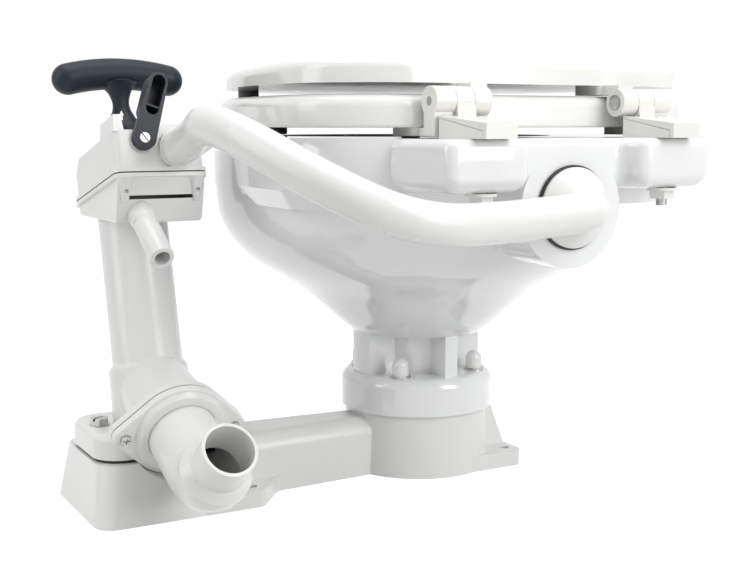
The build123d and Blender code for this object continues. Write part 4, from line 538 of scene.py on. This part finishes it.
@dataclass
class RigidPieces:
    """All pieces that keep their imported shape."""

    paints: Paints
    skin: SmoothSkin

    def dress(
        self, nodes: dict[str, bpy.types.Object], subparts: Iterable[dict[str, str]]
    ) -> None:
        """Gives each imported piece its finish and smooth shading.

        Args:
            nodes: packed objects by name.
            subparts: rows that tie a node to its finish.
        """
        for row in subparts:
            piece = nodes[row["node"]]
            piece.data.materials.clear()
            piece.data.materials.append(None)
            piece.material_slots[0].link = "OBJECT"
            piece.material_slots[0].material = self.paints.get(row["material_slot"])
            self.skin.put_on(piece)
            log.info("dressed %s as %s", row["node"], row["material_slot"])


@dataclass
class BowlHose:
    """White hose from the pump head to the inlet of the bowl, held at both ends."""

    paints: Paints
    radius: float = 0.014
    length: float = 0.405
    round_steps: int = 12
    length_steps: int = 24
    spline_order: int = 3
    route: tuple[Place, ...] = (
        (0.1693, 0.0302, 0.2780),
        (0.1693, 0.0670, 0.2874),
        (0.1855, 0.1310, 0.3000),
        (0.1390, 0.2348, 0.2520),
        (0.0920, 0.2570, 0.2320),
        (0.0200, 0.2460, 0.2310),
        (-0.0395, 0.2445, 0.2352),
    )

    def build(self) -> bpy.types.Object:
        """Returns:
            The hose.
        """
        curve = bpy.data.curves.new("water_hose", "CURVE")
        curve.dimensions = "3D"
        curve.bevel_depth = self.radius
        curve.bevel_resolution = self.round_steps
        curve.resolution_u = self.length_steps
        curve.use_fill_caps = True
        spline = curve.splines.new("NURBS")
        spline.points.add(len(self.route) - 1)
        for point, place in zip(spline.points, self.route):
            point.co = (*place, 1)
        spline.order_u = self.spline_order
        spline.use_endpoint_u = True
        curve.materials.append(self.paints.get("white_hose"))
        hose = add_to_scene("water_hose", curve)
        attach(hose, "fixed")
        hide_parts("bowl_hose")
        log.info("built water_hose")
        return hose


@dataclass
class HandleArrow:
    """Plain arrow, a little proud of the skirt of the handle, that points up.

    It is known to be wrong: it should point down, and the head cover hides half of it.
    """

    paints: Paints
    lean: float = math.radians(14.37)
    head_rise: float = 0.1858
    pump_x: float = 0.184
    axis_cross_z: float = 0.0601
    facing: float = math.radians(20)
    foot_rise: float = 0.0575
    stem_top: float = 0.0618
    tip_rise: float = 0.0665
    stem_half: float = 0.0007
    barb_half: float = 0.0019
    skirt_foot_r: float = 0.0155
    skirt_foot_rise: float = 0.0523
    skirt_taper: float = 0.51
    proud: float = 0.00025

    def _place(self, across: float, rise: float, lift: float) -> Vector:
        """Gives the point on the skirt at a distance across and a rise along the column.

        Args:
            across: distance round the skirt from the arrow's middle.
            rise: height along the column above the parting of the head.
            lift: distance above the skirt.

        Returns:
            The point in the frame of the model.
        """
        taper = (rise - self.skirt_foot_rise) * self.skirt_taper
        radius = self.skirt_foot_r - taper + lift
        turn = self.facing + across / radius
        side, rear = radius * math.sin(turn), radius * math.cos(turn)
        sine, cosine = math.sin(self.lean), math.cos(self.lean)
        along = self.head_rise + rise
        return Vector(
            (
                self.pump_x + side,
                rear * cosine - along * sine,
                self.axis_cross_z + rear * sine + along * cosine,
            )
        )

    def build(self) -> bpy.types.Object:
        """Builds the arrow as a thin raised shape.

        Returns:
            The arrow.
        """
        outline = [
            (-self.stem_half, self.foot_rise),
            (self.stem_half, self.foot_rise),
            (self.stem_half, self.stem_top),
            (self.barb_half, self.stem_top),
            (0.0, self.tip_rise),
            (-self.barb_half, self.stem_top),
            (-self.stem_half, self.stem_top),
        ]
        count = len(outline)
        points = [
            self._place(across, rise, lift)
            for lift in (self.proud, -self.proud)
            for across, rise in outline
        ]
        top, bottom = tuple(range(count)), tuple(range(2 * count - 1, count - 1, -1))
        sides = [
            (i, count + i, count + (i + 1) % count, (i + 1) % count) for i in range(count)
        ]
        mesh = bpy.data.meshes.new("handle_arrow")
        mesh.from_pydata(points, [], [top, bottom, *sides])
        mesh.materials.append(self.paints.get("seat_plastic"))
        arrow = add_to_scene("handle_arrow", mesh)
        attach(arrow, "pump_handle")
        log.info("built handle_arrow")
        return arrow


@dataclass
class WashHoleShade:
    """Short dark plugs on an oval under the lip of the bowl: painted shade that stands in for
    the dark insides of its wash holes.

    They are known to be wrong at the rear, where the oval leaves the lip and the plugs
    hang free.
    """

    paints: Paints
    bowl_x: float = -0.058
    middle_y: float = -0.020
    lip_z: float = 0.2397
    half_width: float = 0.129
    front_reach: float = 0.119
    hole_r: float = 0.0022
    depth: float = 0.0008
    count: int = 28
    plug_sides: int = 12

    def _tree(self) -> bpy.types.NodeTree:
        """Builds the tree that sets short plugs of painted shade along an oval.

        Returns:
            The tree, with named inputs for its sizes.
        """
        tree = bpy.data.node_groups.new("wash_hole_shade", "GeometryNodeTree")
        for label, kind in (
            ("Count", "NodeSocketInt"),
            ("Hole Radius", "NodeSocketFloat"),
            ("Depth", "NodeSocketFloat"),
            ("Half Width", "NodeSocketFloat"),
            ("Reach Share", "NodeSocketFloat"),
            ("Middle", "NodeSocketVector"),
            ("Finish", "NodeSocketMaterial"),
        ):
            tree.interface.new_socket(label, in_out="INPUT", socket_type=kind)
        tree.interface.new_socket("Geometry", in_out="OUTPUT", socket_type="NodeSocketGeometry")
        graph = Graph(tree)
        entry, leave = graph.add("NodeGroupInput"), graph.add("NodeGroupOutput")
        ring = graph.feed(
            graph.add("GeometryNodeCurvePrimitiveCircle"),
            Resolution=entry.outputs["Count"],
            Radius=entry.outputs["Half Width"],
        )
        spots = graph.feed(
            graph.add("GeometryNodeCurveToPoints", mode="EVALUATED"),
            Curve=ring.outputs["Curve"],
        )
        plug = graph.feed(
            graph.add("GeometryNodeMeshCylinder"),
            Vertices=self.plug_sides,
            Radius=entry.outputs["Hole Radius"],
            Depth=entry.outputs["Depth"],
        )
        copies = graph.feed(
            graph.add("GeometryNodeInstanceOnPoints"),
            Points=spots.outputs["Points"],
            Instance=plug.outputs["Mesh"],
        )
        real = graph.feed(
            graph.add("GeometryNodeRealizeInstances"), Geometry=copies.outputs["Instances"]
        )
        stretch = graph.feed(
            graph.add("ShaderNodeCombineXYZ"), X=1.0, Y=entry.outputs["Reach Share"], Z=1.0
        )
        moved = graph.feed(
            graph.add("GeometryNodeTransform"),
            Geometry=real.outputs["Geometry"],
            Scale=stretch.outputs["Vector"],
            Translation=entry.outputs["Middle"],
        )
        paint = graph.feed(
            graph.add("GeometryNodeSetMaterial"),
            Geometry=moved.outputs["Geometry"],
            Material=entry.outputs["Finish"],
        )
        graph.feed(leave, Geometry=paint.outputs["Geometry"])
        return tree

    def build(self) -> bpy.types.Object:
        """Builds the painted shade of the holes and turns it into one plain mesh.

        Returns:
            The dark plugs of painted shade.
        """
        tree = self._tree()
        holder = add_to_scene("wash_hole_shade_tree", bpy.data.meshes.new("wash_hole_shade_seed"))
        modifier = holder.modifiers.new("wash_hole_shade", "NODES")
        modifier.node_group = tree
        values = {
            "Count": self.count,
            "Hole Radius": self.hole_r,
            "Depth": self.depth,
            "Half Width": self.half_width,
            "Reach Share": self.front_reach / self.half_width,
            "Middle": (self.bowl_x, self.middle_y, self.lip_z),
            # the black rubber finish here is painted shade for the insides of the wash holes
            "Finish": self.paints.get("black_rubber"),
        }
        for socket in tree.interface.items_tree:
            if socket.in_out == "INPUT":
                modifier[socket.identifier] = values[socket.name]
        evaluated = holder.evaluated_get(bpy.context.evaluated_depsgraph_get())
        mesh = bpy.data.meshes.new_from_object(evaluated)
        bpy.data.objects.remove(holder)
        shade_plugs = add_to_scene("wash_hole_shade", mesh)
        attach(shade_plugs, "fixed")
        log.info("built wash_hole_shade")
        return shade_plugs


@dataclass(frozen=True)
class SoftBox:
    """One soft rectangular lamp, placed from the middle of the object.

    Its distances run to the camera's left, towards the camera, and up, in metres, and its
    power is in watts.
    """

    name: str
    to_left: float
    to_camera: float
    rise: float
    power: float
    width: float
    height: float


@dataclass
class Studio:
    """Camera at the photograph's viewing angle, soft lamps, white floor and background."""

    eye: Vector = field(default_factory=lambda: Vector((0.4937, 0.9051, 0.2964)))
    look: Vector = field(default_factory=lambda: Vector((-0.479, -0.868, -0.129)))
    focal_px: float = 1220.5
    sensor: float = 36.0
    nearest: float = 0.01
    target: Vector = field(default_factory=lambda: Vector((0.0, 0.02, 0.17)))
    soft_boxes: tuple[SoftBox, ...] = (
        SoftBox("left_softbox", 1.1, 0.9, 0.55, 13.0, 0.7, 1.3),
        SoftBox("right_softbox", -1.3, 0.6, 0.5, 6.0, 0.6, 1.2),
        SoftBox("top_softbox", 0.0, 0.1, 1.5, 13.0, 1.4, 1.0),
    )
    fill_strength: float = 0.42
    floor_half: float = 4.0
    bounce_tone: float = 0.62
    shadow_tone: float = 0.42
    floor_glow: float = 0.86

    def camera(self) -> None:
        """Makes the camera."""
        data = bpy.data.cameras.new("camera")
        data.sensor_width = self.sensor
        data.lens = self.focal_px * self.sensor / PHOTO_WIDTH
        data.clip_start = self.nearest
        camera = add_to_scene("camera", data)
        camera.location = self.eye
        camera.rotation_euler = self.look.to_track_quat("-Z", "Y").to_euler()
        bpy.context.scene.camera = camera

    def lamps(self) -> None:
        """Makes the lamps, all aimed at the middle of the object."""
        back = -self.look.normalized()
        left = -back.cross(UP).normalized()
        for box in self.soft_boxes:
            data = bpy.data.lights.new(box.name, "AREA")
            data.shape = "RECTANGLE"
            data.size, data.size_y = box.width, box.height
            data.energy = box.power
            offset = left * box.to_left + back * box.to_camera + UP * box.rise
            lamp = add_to_scene(box.name, data)
            lamp.location = self.target + offset
            lamp.rotation_euler = (-offset).to_track_quat("-Z", "Y").to_euler()

    @staticmethod
    def _seen_ray(graph: Graph) -> bpy.types.NodeSocket:
        """Tells rays that show the backdrop from rays that light the object.

        Args:
            graph: tree that needs the test.

        Returns:
            A socket that is 1 for camera, glossy and transmitted rays.
        """
        path = graph.add("ShaderNodeLightPath")
        seen = path.outputs["Is Camera Ray"]
        for name in ("Is Glossy Ray", "Is Transmission Ray"):
            either = graph.add("ShaderNodeMath", operation="MAXIMUM")
            graph.join(seen, either.inputs[0])
            graph.join(path.outputs[name], either.inputs[1])
            seen = either.outputs[0]
        return seen

    def world(self) -> None:
        """Makes the world: white where it is seen, softer where it lights."""
        world = bpy.data.worlds.new("studio")
        world.use_nodes = True
        bpy.context.scene.world = world
        graph = Graph(world.node_tree)
        strength = graph.feed(
            graph.add("ShaderNodeMapRange"),
            Value=self._seen_ray(graph),
            To_Min=self.fill_strength,
            To_Max=1.0,
        )
        graph.feed(
            graph.tree.nodes["Background"], Color=grey(1.0), Strength=strength.outputs["Result"]
        )

    def _floor_material(self) -> bpy.types.Material:
        """Makes the floor's material: near white where it is seen, darker where it lights.

        Returns:
            The material.
        """
        material = bpy.data.materials.new("white_floor")
        material.use_nodes = True
        graph = Graph(material.node_tree)
        graph.tree.nodes.clear()
        plain = graph.feed(graph.add("ShaderNodeBsdfDiffuse"), Color=grey(self.bounce_tone))
        shade = graph.feed(graph.add("ShaderNodeBsdfDiffuse"), Color=grey(self.shadow_tone))
        glow = graph.feed(graph.add("ShaderNodeEmission"), Strength=self.floor_glow)
        lit = graph.add("ShaderNodeAddShader")
        graph.join(shade.outputs[0], lit.inputs[0])
        graph.join(glow.outputs[0], lit.inputs[1])
        pick = graph.add("ShaderNodeMixShader")
        graph.join(self._seen_ray(graph), pick.inputs[0])
        graph.join(plain.outputs[0], pick.inputs[1])
        graph.join(lit.outputs[0], pick.inputs[2])
        graph.feed(graph.add("ShaderNodeOutputMaterial"), Surface=pick.outputs[0])
        return material

    def floor(self) -> None:
        """Makes the white floor, which takes a faint shadow of the object."""
        half = self.floor_half
        corners = [(-half, -half, 0), (half, -half, 0), (half, half, 0), (-half, half, 0)]
        mesh = bpy.data.meshes.new("floor")
        mesh.from_pydata(corners, [], [(0, 1, 2, 3)])
        mesh.materials.append(self._floor_material())
        add_to_scene("floor", mesh)

    def build(self) -> None:
        """Builds the whole studio."""
        bpy.context.scene.view_settings.view_transform = "Standard"
        self.camera()
        self.lamps()
        self.world()
        self.floor()


def main() -> None:
    """Loads the model, dresses it and builds the rest."""
    logging.basicConfig(level=logging.INFO)
    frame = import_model()
    Studio().build()
    paints = Paints(SurfaceGroups())
    BowlHose(paints).build()
    RigidPieces(paints, SmoothSkin()).dress(frame["nodes"], frame["record"]["subparts"])
    HandleArrow(paints).build()
    # dark plugs of painted shade for the wash holes of the bowl
    WashHoleShade(paints).build()


if __name__ == "__main__":
    main()
